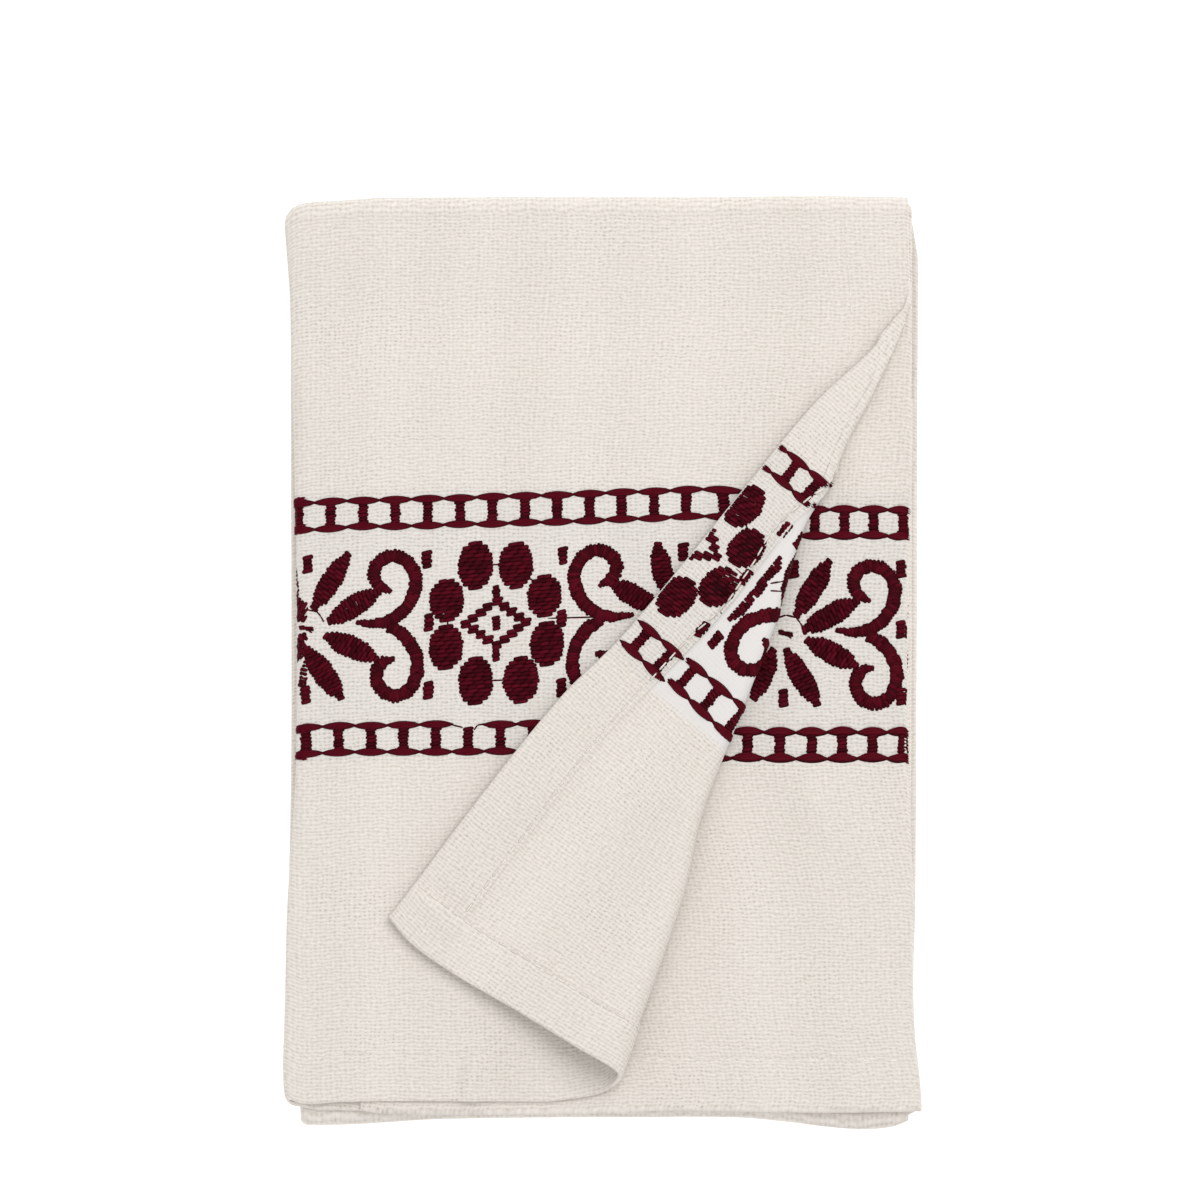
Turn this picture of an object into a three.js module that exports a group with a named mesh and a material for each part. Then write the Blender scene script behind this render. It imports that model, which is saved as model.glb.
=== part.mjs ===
import * as THREE from "three";

// A tea towel of 500 by 700 mm, folded in three across its width and then in three along its length.
// The near right corner of its top layer is turned back, wrong side up, over a soft roll.
// Millimetres, +Z up. The origin is on the surface under the middle of the folded towel, +X runs to the
// right and +Y to the far fold.
//
// The cloth is one sheet. Across the width it is a packet of three thirds: top, middle and bottom. Its
// section is given by x and by h, the height in the packet. Along the length the packet makes three
// panels: front, back and inner, and the inner one lies between the other two.

// Cloth
const THICKNESS = 1.0;
const LAYER_PITCH = 1.4; // from the middle of one layer to the middle of the next
const HEM_EXTRA = 0.3; // what a hem adds to the thickness
const SIDE_HEM = 17.1;
const END_HEM = 13.6;
const HEM_STEP = 1.3; // the width over which a hem's inner edge drops to the plain cloth
const COLOUR = 0xeae3da;

// Folded outline
const TOP_THIRD_EDGE_X = 84.3; // free hemmed edge of the top third
const MIDDLE_THIRD_EDGE_X = -66.7; // free hemmed edge of the middle third
const INNER_HEM_Y = 73; // the end hem of the inner panel
const INNER_INSET = 1.6; // the inner panel is this much narrower at each side
const FAR_FOLD_FLATNESS = 1.0; // how far the innermost layer reaches into the far fold
const NEAR_FOLD_FLATNESS = 0.7;

// The outer edges of the folded towel, from its far end to its near end.
const SIDES = [
  { y: 126, frontLeft: -87.8, backLeft: -87.6, frontRight: 85.4, backRight: 86.9 },
  { y: 108, frontLeft: -86.5, backLeft: -86.6, frontRight: 85.4, backRight: 87.4 },
  { y: 96, frontLeft: -86.0, backLeft: -86.3, frontRight: 85.4, backRight: 87.3 },
  { y: 48, frontLeft: -84.8, backLeft: -86.2, frontRight: 85.0, backRight: 87.0 },
  { y: 10, frontLeft: -84.0, backLeft: -86.1, frontRight: 84.1, backRight: 87.0 },
  { y: -28, frontLeft: -84.6, backLeft: -86.2, frontRight: 84.3, backRight: 86.8 },
  { y: -65, frontLeft: -86.9, backLeft: -86.9, frontRight: 85.9, backRight: 86.6 },
  { y: -93, frontLeft: -87.6, backLeft: -87.2, frontRight: 85.8, backRight: 86.0 },
  { y: -117, frontLeft: -87.9, backLeft: -85.2, frontRight: 87.9, backRight: 87.5 },
  { y: -124, frontLeft: -86.4, backLeft: -82.2, frontRight: 87.9, backRight: 87.4 },
];
const FAR_FOLD = [
  { x: -88, y: 123.4 },
  { x: -84, y: 126.4 },
  { x: -71, y: 127.6 },
  { x: -60, y: 128.3 },
  { x: 20, y: 128.5 },
  { x: 83, y: 128.4 },
  { x: 87.5, y: 126.4 },
];
const NEAR_FOLD = [
  { x: -83, y: -127.6 },
  { x: -69, y: -127.4 },
  { x: -43, y: -125.9 },
  { x: 14, y: -125.4 },
  { x: 37, y: -125.5 },
  { x: 50, y: -126.6 },
  { x: 62, y: -128.1 },
  { x: 72, y: -128.7 },
  { x: 80.5, y: -127.9 },
  { x: 88, y: -124.6 },
];
// The end hem of the front panel, for each third of the packet.
const FRONT_HEM = [
  { x: -88, top: -118.8, middle: -119.6, bottom: -120.4 },
  { x: -83, top: -121.2, middle: -122.0, bottom: -122.9 },
  { x: -72, top: -120.7, middle: -122.0, bottom: -123.3 },
  { x: -60, top: -120.4, middle: -124.3, bottom: -123.3 },
  { x: 0, top: -120.3, middle: -124.4, bottom: -123.2 },
  { x: 18, top: -120.3, middle: -123.4, bottom: -122.6 },
  { x: 62, top: -120.3, middle: -124.0, bottom: -123.2 },
  { x: 88, top: -120.3, middle: -123.6, bottom: -123.0 },
];

// Turned-back corner. The crease runs from the pivot on the free edge to the near hem. Places by it are
// given as along, the distance from the pivot, and beyond, the cloth's distance past the crease.
const PIVOT = new THREE.Vector2(TOP_THIRD_EDGE_X, 102);
const CREASE_TURN = THREE.MathUtils.degToRad(19.9); // from the free edge
const ROLL_RADIUS = 1.2; // at the pivot
const ROLL_GROWTH = 0.017; // added for each millimetre from the pivot
const ROLL_FALL = 2.0; // how far the flap takes to come down from its roll, in roll radii
const ROLL_OPENING = { from: -10, to: 9 }; // the free edge rises over this stretch by the pivot
const CREASE_LENGTH = 237;
// The roll's outer edge, to the left of a straight crease.
const ROLL_BOW = [
  { along: 0, bow: -0.6 },
  { along: 12, bow: -0.8 },
  { along: 30, bow: 0.7 },
  { along: 45, bow: 2.8 },
  { along: 58, bow: 3.1 },
  { along: 70, bow: 5.3 },
  { along: 89, bow: 4.7 },
  { along: 97, bow: 3.8 },
  { along: 120, bow: 4.2 },
  { along: 155, bow: 4.9 },
  { along: 180, bow: 2.2 },
  { along: 237, bow: 1.6 },
];
// The flap's free side edge, to the left of a straight crease, and its height above a flap that lies flat.
const FLAP_EDGE = [
  { along: 10, left: 1.6, lift: 0.0 },
  { along: 19, left: 4.6, lift: 0.4 },
  { along: 37, left: 13.8, lift: 0.9 },
  { along: 66, left: 24.3, lift: 1.4 },
  { along: 94, left: 34.0, lift: 1.9 },
  { along: 118, left: 43.0, lift: 2.2 },
  { along: 137, left: 52.1, lift: 2.4 },
  { along: 178, left: 66.5, lift: 1.9 },
  { along: 210, left: 76.5, lift: 0.6 },
  { along: 237, left: 86.3, lift: 0.6 },
];
// How far the near hem is drawn along the crease by the roll, and its height above a flap that lies flat.
const ROLLED_HEM = [
  { beyond: -18, drawn: 0.0, lift: 0.0 },
  { beyond: -7, drawn: -2.2, lift: 0.3 },
  { beyond: 1, drawn: -6.4, lift: 0.6 },
  { beyond: 18, drawn: -4.2, lift: 1.4 },
  { beyond: 36, drawn: -1.2, lift: 1.6 },
  { beyond: 55, drawn: 2.4, lift: 1.2 },
  { beyond: 68, drawn: 3.6, lift: 0.6 },
  { beyond: 78, drawn: 0.9, lift: 0.1 },
];

// Soft swells of the front panel. The turn is that of a swell's length from +X.
const TOP_SWELLS = [
  { x: -35, y: -116, turn: 75, length: 13, width: 4, height: 0.9 }, // pucker at the near hem
  { x: -81, y: -46, turn: 105, length: 12, width: 3, height: 0.7 }, // crease by the left fold
  { x: 18, y: 40, turn: 5, length: 30, width: 9, height: 0.5 }, // drawn cloth over the band
  { x: 8, y: -36, turn: -8, length: 34, width: 8, height: 0.6 }, // drawn cloth under the band
  { x: -58, y: 70, turn: 20, length: 40, width: 18, height: 0.5 },
  { x: -20, y: -86, turn: -15, length: 36, width: 15, height: 0.5 },
];
const MIDDLE_SWELLS = [
  { x: 57, y: -38, turn: -60, length: 11, width: 4, height: 1.2 }, // puckers under the band
  { x: 70, y: -48, turn: -75, length: 14, width: 4, height: 0.8 },
  { x: 72, y: 52, turn: -80, length: 14, width: 5, height: 0.7 },
  { x: 60, y: -96, turn: 20, length: 22, width: 10, height: 0.7 },
];
const SAG = { depth: 1.1, from: 74, to: 118 }; // the front panel over the end of the inner one

// Steps of the mesh
const FOLD_STEPS = 4;
const TURN_STEPS = 5;
// Distances from the near hem. They are closer by the pivot.
const FRONT_ROWS = [
  0, 6.5, END_HEM, END_HEM + HEM_STEP, 24, 34, 45, 56, 67, 78, 89, 100, 111, 122, 133, 144, 155, 166, 177,
  188, 197, 205, 211, 216, 220, 224, 229, 236,
];
const ROLL_STEPS = [1.57, 1.1, 0.55, 0, -0.55, -1.1, -1.57, -2.6]; // beyond the crease, in roll radii
const FLAP_STEPS = 4;
const FLAT_STEPS = 7;
const BOTTOM_STEPS = 6;
const MIDDLE_STEPS = 8;
const BACK_STEPS = 5;
const INNER_STEPS = 4;
const LEAST_STEP = 0.35; // from one place of the top third to the next

const { clamp, lerp, smoothstep } = THREE.MathUtils;

// The value of a column between the rows of a table, on a smooth curve through them.
function read(table, by, column, at) {
  const last = table.length - 1;
  const order = Math.sign(table[last][by] - table[0][by]);
  const place = (i) => order * table[i][by];
  const target = clamp(order * at, place(0), place(last));
  let i = 0;
  while (i < last - 1 && place(i + 1) < target) i += 1;
  const slope = (k) => {
    const before = Math.max(k - 1, 0);
    const after = Math.min(k + 1, last);
    return (table[after][column] - table[before][column]) / (place(after) - place(before));
  };
  const span = place(i + 1) - place(i);
  const t = (target - place(i)) / span;
  const bend = t * t * (3 - 2 * t);
  const leave = t * (1 - t) * (1 - t) * span * slope(i);
  const arrive = t * t * (t - 1) * span * slope(i + 1);
  return lerp(table[i][column], table[i + 1][column], bend) + leave + arrive;
}

// Height of the soft swells at a place.
function swell(swells, x, y) {
  let height = 0;
  for (const s of swells) {
    const turn = THREE.MathUtils.degToRad(s.turn);
    const along = (x - s.x) * Math.cos(turn) + (y - s.y) * Math.sin(turn);
    const across = (y - s.y) * Math.cos(turn) - (x - s.x) * Math.sin(turn);
    height += s.height * Math.exp(-((along / s.length) ** 2) - (across / s.width) ** 2);
  }
  return height;
}

// How far the front panel hangs down between the inner panel's hem and the far fold.
function sag(y) {
  const middle = (SAG.from + SAG.to) / 2;
  return SAG.depth * smoothstep(y, SAG.from, middle) * (1 - smoothstep(y, middle, SAG.to));
}

// Height of the packet's place h in the panels that lie flat, from the surface under the towel.
const inFront = (h) => THICKNESS / 2 + 6 * LAYER_PITCH + h;
const inBack = (h) => THICKNESS / 2 + 2 * LAYER_PITCH - h;
const inInner = (h) => THICKNESS / 2 + 3 * LAYER_PITCH + h;
const TOP_H = 2 * LAYER_PITCH;
const OUTER_H = TOP_H + THICKNESS / 2;

// Where the flat stretch of the panels ends, at the far fold and at the near one.
const farEnd = (x) => read(FAR_FOLD, "x", "y", x) - FAR_FOLD_FLATNESS - OUTER_H;
const nearEnd = (x) => read(NEAR_FOLD, "x", "y", x) + NEAR_FOLD_FLATNESS + OUTER_H;

// The near hem of the front panel, at a height in the packet.
function frontHem(x, h) {
  const bottom = read(FRONT_HEM, "x", "bottom", x);
  const middle = read(FRONT_HEM, "x", "middle", x);
  const top = read(FRONT_HEM, "x", "top", x);
  const level = clamp(h / LAYER_PITCH, 0, 2);
  return level < 1 ? lerp(bottom, middle, level) : lerp(middle, top, level - 1);
}

// The flat top layer with its corner turned back: where the middle of its cloth lies.
function turnedBack(x, y) {
  const down = new THREE.Vector2(-Math.sin(CREASE_TURN), -Math.cos(CREASE_TURN));
  const out = new THREE.Vector2(-down.y, down.x); // from the crease to the unfolded corner
  const fromPivot = new THREE.Vector2(x, y).sub(PIVOT);
  const along = fromPivot.dot(down);
  const beyond = fromPivot.dot(out);
  const radius = ROLL_RADIUS + ROLL_GROWTH * Math.max(along, 0);
  const quarter = (Math.PI / 2) * radius;
  const bow = read(ROLL_BOW, "along", "bow", along);
  const pull = bow - (quarter - radius); // how far the flat cloth is drawn to the left at the roll

  let left; // of a straight crease
  let rise; // above the flat layer
  if (beyond < -quarter) {
    const reach = (PIVOT.x + along * down.x - SIDES[0].frontLeft) / out.x - quarter;
    const share = clamp(1 + (beyond + quarter) / reach, 0, 1);
    left = -beyond + pull * share;
    rise = 0;
  } else if (beyond < quarter) {
    left = bow + radius - radius * Math.cos(beyond / radius);
    rise = radius + radius * Math.sin(beyond / radius);
  } else {
    const width = Math.max(along, 0) * Math.tan(CREASE_TURN);
    const flapWidth = read(FLAP_EDGE, "along", "left", along) - bow - radius;
    const stretch = width > quarter + 3 ? clamp(flapWidth / (width - quarter), 0.6, 1.25) : 1;
    const run = (beyond - quarter) * stretch;
    const fall = run / (ROLL_FALL * radius);
    const share = clamp(beyond / Math.max(width, 1), 0, 1);
    left = bow + radius + run;
    rise = LAYER_PITCH + (2 * radius - LAYER_PITCH) * (1 + fall) * Math.exp(-fall);
    rise += read(FLAP_EDGE, "along", "lift", along) * share * share;
  }
  const near = smoothstep(along, 0.55 * CREASE_LENGTH, CREASE_LENGTH);
  const drawn = along + near * read(ROLLED_HEM, "beyond", "drawn", beyond);
  rise += near * near * read(ROLLED_HEM, "beyond", "lift", beyond);

  const turned = PIVOT.clone().addScaledVector(down, drawn).addScaledVector(out, -left);
  const open = smoothstep(along, ROLL_OPENING.from, ROLL_OPENING.to);
  turned.lerpVectors(new THREE.Vector2(x, y), turned, open);
  const ground = swell(TOP_SWELLS, turned.x, turned.y) - sag(turned.y);
  return new THREE.Vector3(turned.x, turned.y, inFront(TOP_H) + ground + open * rise);
}

// A point of the top layer, at a height over or under the middle of its cloth.
function onTopLayer(x, y, side) {
  const small = 0.02;
  const middle = turnedBack(x, y);
  const alongX = turnedBack(x + small, y).sub(turnedBack(x - small, y));
  const alongY = turnedBack(x, y + small).sub(turnedBack(x, y - small));
  return middle.addScaledVector(alongX.cross(alongY).normalize(), side);
}

// A point of the packet in one of the rows along the length, at the place x and the height h.
function inPacket(row, x, h) {
  const { panel, share } = row;
  const far = farEnd(x);
  const near = nearEnd(x);
  if (panel === "front") {
    const hem = frontHem(x, h);
    const y = lerp(hem, far, share);
    const lifted = swell(MIDDLE_SWELLS, x, y) * clamp(h / LAYER_PITCH, 0, 1) - sag(y);
    return new THREE.Vector3(x, y, inFront(h) + lifted);
  }
  if (panel === "farTurn") {
    const turn = Math.PI * share;
    const middle = (inFront(h) + inBack(h)) / 2;
    const reach = FAR_FOLD_FLATNESS + h;
    const z = middle + (inFront(h) - middle) * Math.cos(turn);
    return new THREE.Vector3(x, far + reach * Math.sin(turn), z);
  }
  if (panel === "back") {
    return new THREE.Vector3(x, lerp(far, near, share), inBack(h));
  }
  if (panel === "nearTurn") {
    const turn = Math.PI * share;
    const middle = (inInner(h) + inBack(h)) / 2;
    const reach = NEAR_FOLD_FLATNESS + h;
    const z = middle + (inBack(h) - middle) * Math.cos(turn);
    return new THREE.Vector3(x, near - reach * Math.sin(turn), z);
  }
  return new THREE.Vector3(x, lerp(near, INNER_HEM_Y, share), inInner(h));
}

// The rows along the length. The y of a row says where it lies, and hem is its distance from an end hem.
function lengthRows() {
  const rows = [];
  const nearHem = frontHem(0, TOP_H);
  const frontLength = farEnd(0) - nearHem;
  for (const distance of FRONT_ROWS) {
    const share = distance / frontLength;
    rows.push({ panel: "front", share, y: nearHem + distance, hem: distance });
  }
  for (let i = 0; i <= TURN_STEPS; i += 1) {
    rows.push({ panel: "farTurn", share: i / TURN_STEPS, y: farEnd(0), hem: Infinity });
  }
  for (let i = 1; i < BACK_STEPS; i += 1) {
    const share = i / BACK_STEPS;
    rows.push({ panel: "back", share, y: lerp(farEnd(0), nearEnd(0), share), hem: Infinity });
  }
  for (let i = 0; i <= TURN_STEPS; i += 1) {
    rows.push({ panel: "nearTurn", share: i / TURN_STEPS, y: nearEnd(0), hem: Infinity });
  }
  const innerLength = INNER_HEM_Y - nearEnd(0);
  const plain = innerLength - END_HEM - HEM_STEP;
  for (let i = 1; i <= INNER_STEPS; i += 1) {
    rows.push(innerRow((plain * i) / INNER_STEPS, innerLength));
  }
  rows.push(innerRow(innerLength - END_HEM, innerLength));
  rows.push(innerRow(innerLength, innerLength));
  return rows;
}

function innerRow(distance, length) {
  return { panel: "inner", share: distance / length, y: nearEnd(0) + distance, hem: length - distance };
}

// The left and right folds at a row.
function sideFolds(row) {
  const front = row.panel === "front" || row.panel === "farTurn";
  const inset = row.panel === "inner" ? INNER_INSET : 0;
  const left = read(SIDES, "y", front ? "frontLeft" : "backLeft", row.y);
  const right = read(SIDES, "y", front ? "frontRight" : "backRight", row.y);
  return { left: left + inset, right: right - inset };
}

// The top third's places at a row, from its free edge to its left fold. They follow the hem and the roll.
function topThirdPlaces(row, foldStart) {
  const edge = TOP_THIRD_EDGE_X;
  const along = row.panel === "front" ? (PIVOT.y - row.y) / Math.cos(CREASE_TURN) : 0;
  const crease = edge - Math.max(along, 0) * Math.sin(CREASE_TURN);
  const radius = ROLL_RADIUS + ROLL_GROWTH * Math.max(along, 0);
  const places = [edge, edge - SIDE_HEM / 2, edge - SIDE_HEM, edge - SIDE_HEM - HEM_STEP];
  const roll = ROLL_STEPS.map((step) => crease + (step * radius) / Math.cos(CREASE_TURN));
  const hemEnd = places[places.length - 1];
  for (let i = 1; i < FLAP_STEPS; i += 1) {
    places.push(lerp(hemEnd, roll[0], i / FLAP_STEPS));
  }
  places.push(...roll.map((x) => Math.min(x, edge)));
  const flatEnd = Math.min(roll[roll.length - 1], hemEnd);
  for (let i = 1; i < FLAT_STEPS; i += 1) {
    places.push(lerp(flatEnd, foldStart, i / FLAT_STEPS));
  }
  places.sort((a, b) => b - a);
  places[0] = edge;
  for (let i = 1; i < places.length; i += 1) {
    places[i] = Math.min(places[i], places[i - 1] - LEAST_STEP);
  }
  places.push(foldStart);
  return places;
}

// The packet's section at a row: the middle of the cloth, and the direction of its right side.
function section(row) {
  const { left, right } = sideFolds(row);
  const leftRadius = LAYER_PITCH;
  const rightRadius = LAYER_PITCH / 2;
  const half = THICKNESS / 2;
  const leftStart = left + leftRadius + half;
  const rightStart = right - rightRadius - half;
  const line = [];
  for (const x of topThirdPlaces(row, leftStart)) {
    line.push({ third: "top", x, h: TOP_H, sideX: 0, sideH: 1, edge: TOP_THIRD_EDGE_X - x });
  }
  for (let i = 1; i < FOLD_STEPS; i += 1) {
    const turn = (Math.PI * i) / FOLD_STEPS;
    const sideX = -Math.sin(turn);
    const sideH = Math.cos(turn);
    const x = leftStart + leftRadius * sideX;
    const h = TOP_H / 2 + leftRadius * sideH;
    line.push({ third: "leftFold", x, h, sideX, sideH, edge: Infinity });
  }
  for (let i = 0; i <= BOTTOM_STEPS; i += 1) {
    const x = lerp(leftStart, rightStart, i / BOTTOM_STEPS);
    line.push({ third: "bottom", x, h: 0, sideX: 0, sideH: -1, edge: Infinity });
  }
  for (let i = 1; i < FOLD_STEPS; i += 1) {
    const turn = (Math.PI * i) / FOLD_STEPS;
    const sideX = Math.sin(turn);
    const sideH = -Math.cos(turn);
    const x = rightStart + rightRadius * sideX;
    const h = rightRadius + rightRadius * sideH;
    line.push({ third: "rightFold", x, h, sideX, sideH, edge: Infinity });
  }
  const hemStart = MIDDLE_THIRD_EDGE_X + SIDE_HEM + HEM_STEP;
  for (let i = 0; i <= MIDDLE_STEPS; i += 1) {
    const x = lerp(rightStart, hemStart, i / MIDDLE_STEPS);
    line.push(middlePlace(x));
  }
  line.push(middlePlace(MIDDLE_THIRD_EDGE_X + SIDE_HEM));
  line.push(middlePlace(MIDDLE_THIRD_EDGE_X));
  return line;
}

function middlePlace(x) {
  return { third: "middle", x, h: LAYER_PITCH, sideX: 0, sideH: 1, edge: x - MIDDLE_THIRD_EDGE_X };
}

// A point on the right side (side 1) or the wrong side (side -1) of the cloth.
function clothPoint(row, place, side) {
  const inHem = place.edge <= SIDE_HEM || row.hem <= END_HEM;
  const outside = row.panel !== "front" && side > 0; // the back panel lies flat on the surface
  const thick = inHem && !outside ? HEM_EXTRA / 2 : 0;
  const offset = side * (THICKNESS / 2 + thick);
  if (place.third === "top" && row.panel === "front") {
    const y = lerp(frontHem(place.x, TOP_H), farEnd(place.x), row.share);
    return onTopLayer(place.x, y, offset);
  }
  return inPacket(row, place.x + offset * place.sideX, place.h + offset * place.sideH);
}

// One closed body from a net of rows and places: its right side, its wrong side and the rim that joins them.
function sheetGeometry() {
  const rows = lengthRows();
  const sections = rows.map((row) => section(row));
  const wide = sections[0].length;
  const positions = [];
  for (const side of [1, -1]) {
    rows.forEach((row, j) => {
      for (const place of sections[j]) {
        positions.push(...clothPoint(row, place, side).toArray());
      }
    });
  }
  const right = (j, i) => j * wide + i;
  const wrong = (j, i) => (rows.length + j) * wide + i;
  const index = [];
  const quad = (a, b, c, d) => index.push(a, b, c, a, c, d);
  for (let j = 0; j + 1 < rows.length; j += 1) {
    for (let i = 0; i + 1 < wide; i += 1) {
      quad(right(j, i), right(j + 1, i), right(j + 1, i + 1), right(j, i + 1));
      quad(wrong(j, i), wrong(j, i + 1), wrong(j + 1, i + 1), wrong(j + 1, i));
    }
  }
  const endJ = rows.length - 1;
  const endI = wide - 1;
  for (let i = 0; i < endI; i += 1) {
    quad(right(0, i), right(0, i + 1), wrong(0, i + 1), wrong(0, i));
    quad(right(endJ, i + 1), right(endJ, i), wrong(endJ, i), wrong(endJ, i + 1));
  }
  for (let j = 0; j < endJ; j += 1) {
    quad(right(j + 1, 0), right(j, 0), wrong(j, 0), wrong(j + 1, 0));
    quad(right(j, endI), right(j + 1, endI), wrong(j + 1, endI), wrong(j, endI));
  }
  const geometry = new THREE.BufferGeometry();
  geometry.setAttribute("position", new THREE.Float32BufferAttribute(positions, 3));
  geometry.setIndex(index);
  geometry.computeVertexNormals();
  return geometry;
}

function towel() {
  const cloth = new THREE.MeshStandardMaterial({ color: COLOUR, roughness: 0.92, metalness: 0 });
  const mesh = new THREE.Mesh(sheetGeometry(), cloth);
  mesh.name = "towel";
  return mesh;
}

const part = new THREE.Group();
part.add(towel());

export default part;
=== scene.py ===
"""A folded tea towel: its cloth, its embroidered band and its seams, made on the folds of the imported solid.

Places are worked out in millimetres in the part's frame, and turned to metres where a mesh is made.
The cloth has coordinates of its own: u is the distance from the free side hem of the top third, round the
two side folds, and v the distance from the near end hem.
"""

import math

import bpy
import numpy as np
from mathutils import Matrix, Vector


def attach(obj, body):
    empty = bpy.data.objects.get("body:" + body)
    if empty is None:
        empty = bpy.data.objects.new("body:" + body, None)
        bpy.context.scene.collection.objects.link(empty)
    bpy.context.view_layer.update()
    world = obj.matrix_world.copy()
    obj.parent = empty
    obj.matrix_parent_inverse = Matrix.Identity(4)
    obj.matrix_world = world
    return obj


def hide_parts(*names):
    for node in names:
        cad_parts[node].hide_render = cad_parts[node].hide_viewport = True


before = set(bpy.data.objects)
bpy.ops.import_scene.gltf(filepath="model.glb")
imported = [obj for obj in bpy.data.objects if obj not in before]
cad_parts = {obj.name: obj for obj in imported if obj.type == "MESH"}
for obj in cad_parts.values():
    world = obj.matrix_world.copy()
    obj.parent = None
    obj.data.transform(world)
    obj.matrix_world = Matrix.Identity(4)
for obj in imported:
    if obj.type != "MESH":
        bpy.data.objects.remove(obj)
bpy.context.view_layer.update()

MM = 0.001
PHOTO_SIDE = 330.0  # what the photo shows across, at the top of the towel

# Cloth
LAYER_PITCH = 1.4  # from the middle of one layer to the middle of the next
SOLID_THICKNESS = 1.0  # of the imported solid, whose underside this cloth shares
THICKNESS = 0.7
SIDE_HEM = 18.6
END_HEM = 14.5
HEM_FOLDED = 0.55  # what a hem's turned-in cloth adds on the wrong side
HEM_RAISED = 0.12  # and on the right side
SEAM_INSET = 1.3  # from a hem's inner edge to its seam
SEAM_DEPTH_RIGHT = 0.09
SEAM_DEPTH_WRONG = 0.22
SEAM_WIDTH = 0.7
LAPPED_HEM = 0.4  # how much of the side hem's height is left under the end hem
HEM_SLOPE = (-0.1, 0.35)  # from a hem's inner edge, where it falls to the single cloth
LAP_SLOPE = 0.4
HEM_RIDGE = 0.7  # the side hem's inner edge is drawn up behind the band
RIDGE_INSET = 0.3
RIDGE_WIDTH = 0.8
BEHIND_BAND = (96, 108, 146, 160)  # v where the side seam gives way to that ridge, and starts again
EDGE_ROUNDING = 0.5


def columns(names, rows):
    """A table, as one array for each of its named columns."""
    values = np.array(rows, float)
    return {name: values[:, i] for i, name in enumerate(names.split())}


# The side hem of the top third: its width, and its seam's distance from the free edge. It is wider by the
# band, where the seam runs straight on.
TOP_HEM = columns(
    "v width seam",
    [
        (0, 16.7, 15.4),
        (80, 16.7, 15.4),
        (103, 17.2, 15.0),
        (113, 18.0, 15.7),
        (122, 18.5, 17.3),
        (138, 19.3, 17.3),
        (148, 19.7, 16.3),
        (160, 20.0, 17.5),
        (180, 19.5, 17.8),
        (200, 18.6, 17.3),
    ],
)

# The outer edges of the folded towel, from its far end to its near end.
SIDES = columns(
    "y front_left back_left front_right back_right",
    [
        (126, -87.8, -87.6, 85.4, 86.9),
        (108, -86.5, -86.6, 85.4, 87.4),
        (96, -86.0, -86.3, 85.4, 87.3),
        (48, -84.8, -86.2, 85.0, 87.0),
        (10, -84.0, -86.1, 84.1, 87.0),
        (-28, -84.6, -86.2, 84.3, 86.8),
        (-65, -86.9, -86.9, 85.9, 86.6),
        (-93, -87.6, -87.2, 85.8, 86.0),
        (-117, -87.9, -85.2, 87.9, 87.5),
        (-124, -86.4, -82.2, 87.9, 87.4),
    ],
)
FAR_FOLD = columns(
    "x y",
    [(-88, 123.4), (-84, 126.4), (-71, 127.6), (-60, 128.3), (20, 128.5), (83, 128.4), (87.5, 126.4)],
)
NEAR_FOLD = columns(
    "x y",
    [
        (-83, -127.6),
        (-69, -127.4),
        (-43, -125.9),
        (14, -125.4),
        (37, -125.5),
        (50, -126.6),
        (62, -128.1),
        (72, -128.7),
        (80.5, -127.9),
        (88, -124.6),
    ],
)
# The near end hem of the front panel, for each third of the packet.
FRONT_HEM = columns(
    "x top middle bottom",
    [
        (-88, -118.8, -119.6, -120.4),
        (-83, -121.2, -122.0, -122.9),
        (-72, -120.7, -122.0, -123.3),
        (-60, -120.4, -124.3, -123.3),
        (0, -120.3, -124.4, -123.2),
        (18, -120.3, -123.4, -122.6),
        (62, -120.3, -124.0, -123.2),
        (88, -120.3, -123.6, -123.0),
    ],
)
TOP_THIRD_EDGE = 84.3
MIDDLE_THIRD_EDGE = -66.7
INNER_HEM_Y = 73.0
INNER_INSET = 1.6
FAR_FOLD_FLATNESS = 1.0
NEAR_FOLD_FLATNESS = 0.7

# The turned-back corner. Its crease runs from the pivot to the near hem. Along is the distance from the
# pivot, and beyond the cloth's distance past the crease.
PIVOT = (TOP_THIRD_EDGE, 102.0)
CREASE_TURN = math.radians(19.9)
CREASE_LENGTH = 237.0
ROLL_RADIUS = 1.2
ROLL_GROWTH = 0.017
ROLL_FALL = 2.0
ROLL_OPENING = (-10.0, 9.0)
LEAST_FLAP = 3.0  # a flap narrower than this past its roll isn't stretched
FLAP_STRETCH = (0.6, 1.25)
HEM_ROLLED_FROM = 0.55  # of the crease's length
ROLL_BOW = columns(
    "along bow",
    [
        (0, -0.6),
        (12, -0.8),
        (30, 0.7),
        (45, 2.8),
        (58, 3.1),
        (70, 5.3),
        (89, 4.7),
        (97, 3.8),
        (120, 4.2),
        (155, 4.9),
        (180, 2.2),
        (237, 1.6),
    ],
)
FLAP_EDGE = columns(
    "along left lift",
    [
        (10, 1.6, 0.0),
        (19, 4.6, 0.4),
        (37, 13.8, 0.9),
        (66, 24.3, 1.4),
        (94, 34.0, 1.9),
        (118, 43.0, 2.2),
        (137, 52.1, 2.4),
        (178, 66.5, 1.9),
        (210, 76.5, 0.6),
        (237, 86.3, 0.6),
    ],
)
ROLLED_HEM = columns(
    "beyond drawn lift",
    [
        (-18, 0.0, 0.0),
        (-7, -2.2, 0.3),
        (1, -6.4, 0.6),
        (18, -4.2, 1.4),
        (36, -1.2, 1.6),
        (55, 2.4, 1.2),
        (68, 3.6, 0.6),
        (78, 0.9, 0.1),
    ],
)

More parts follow.
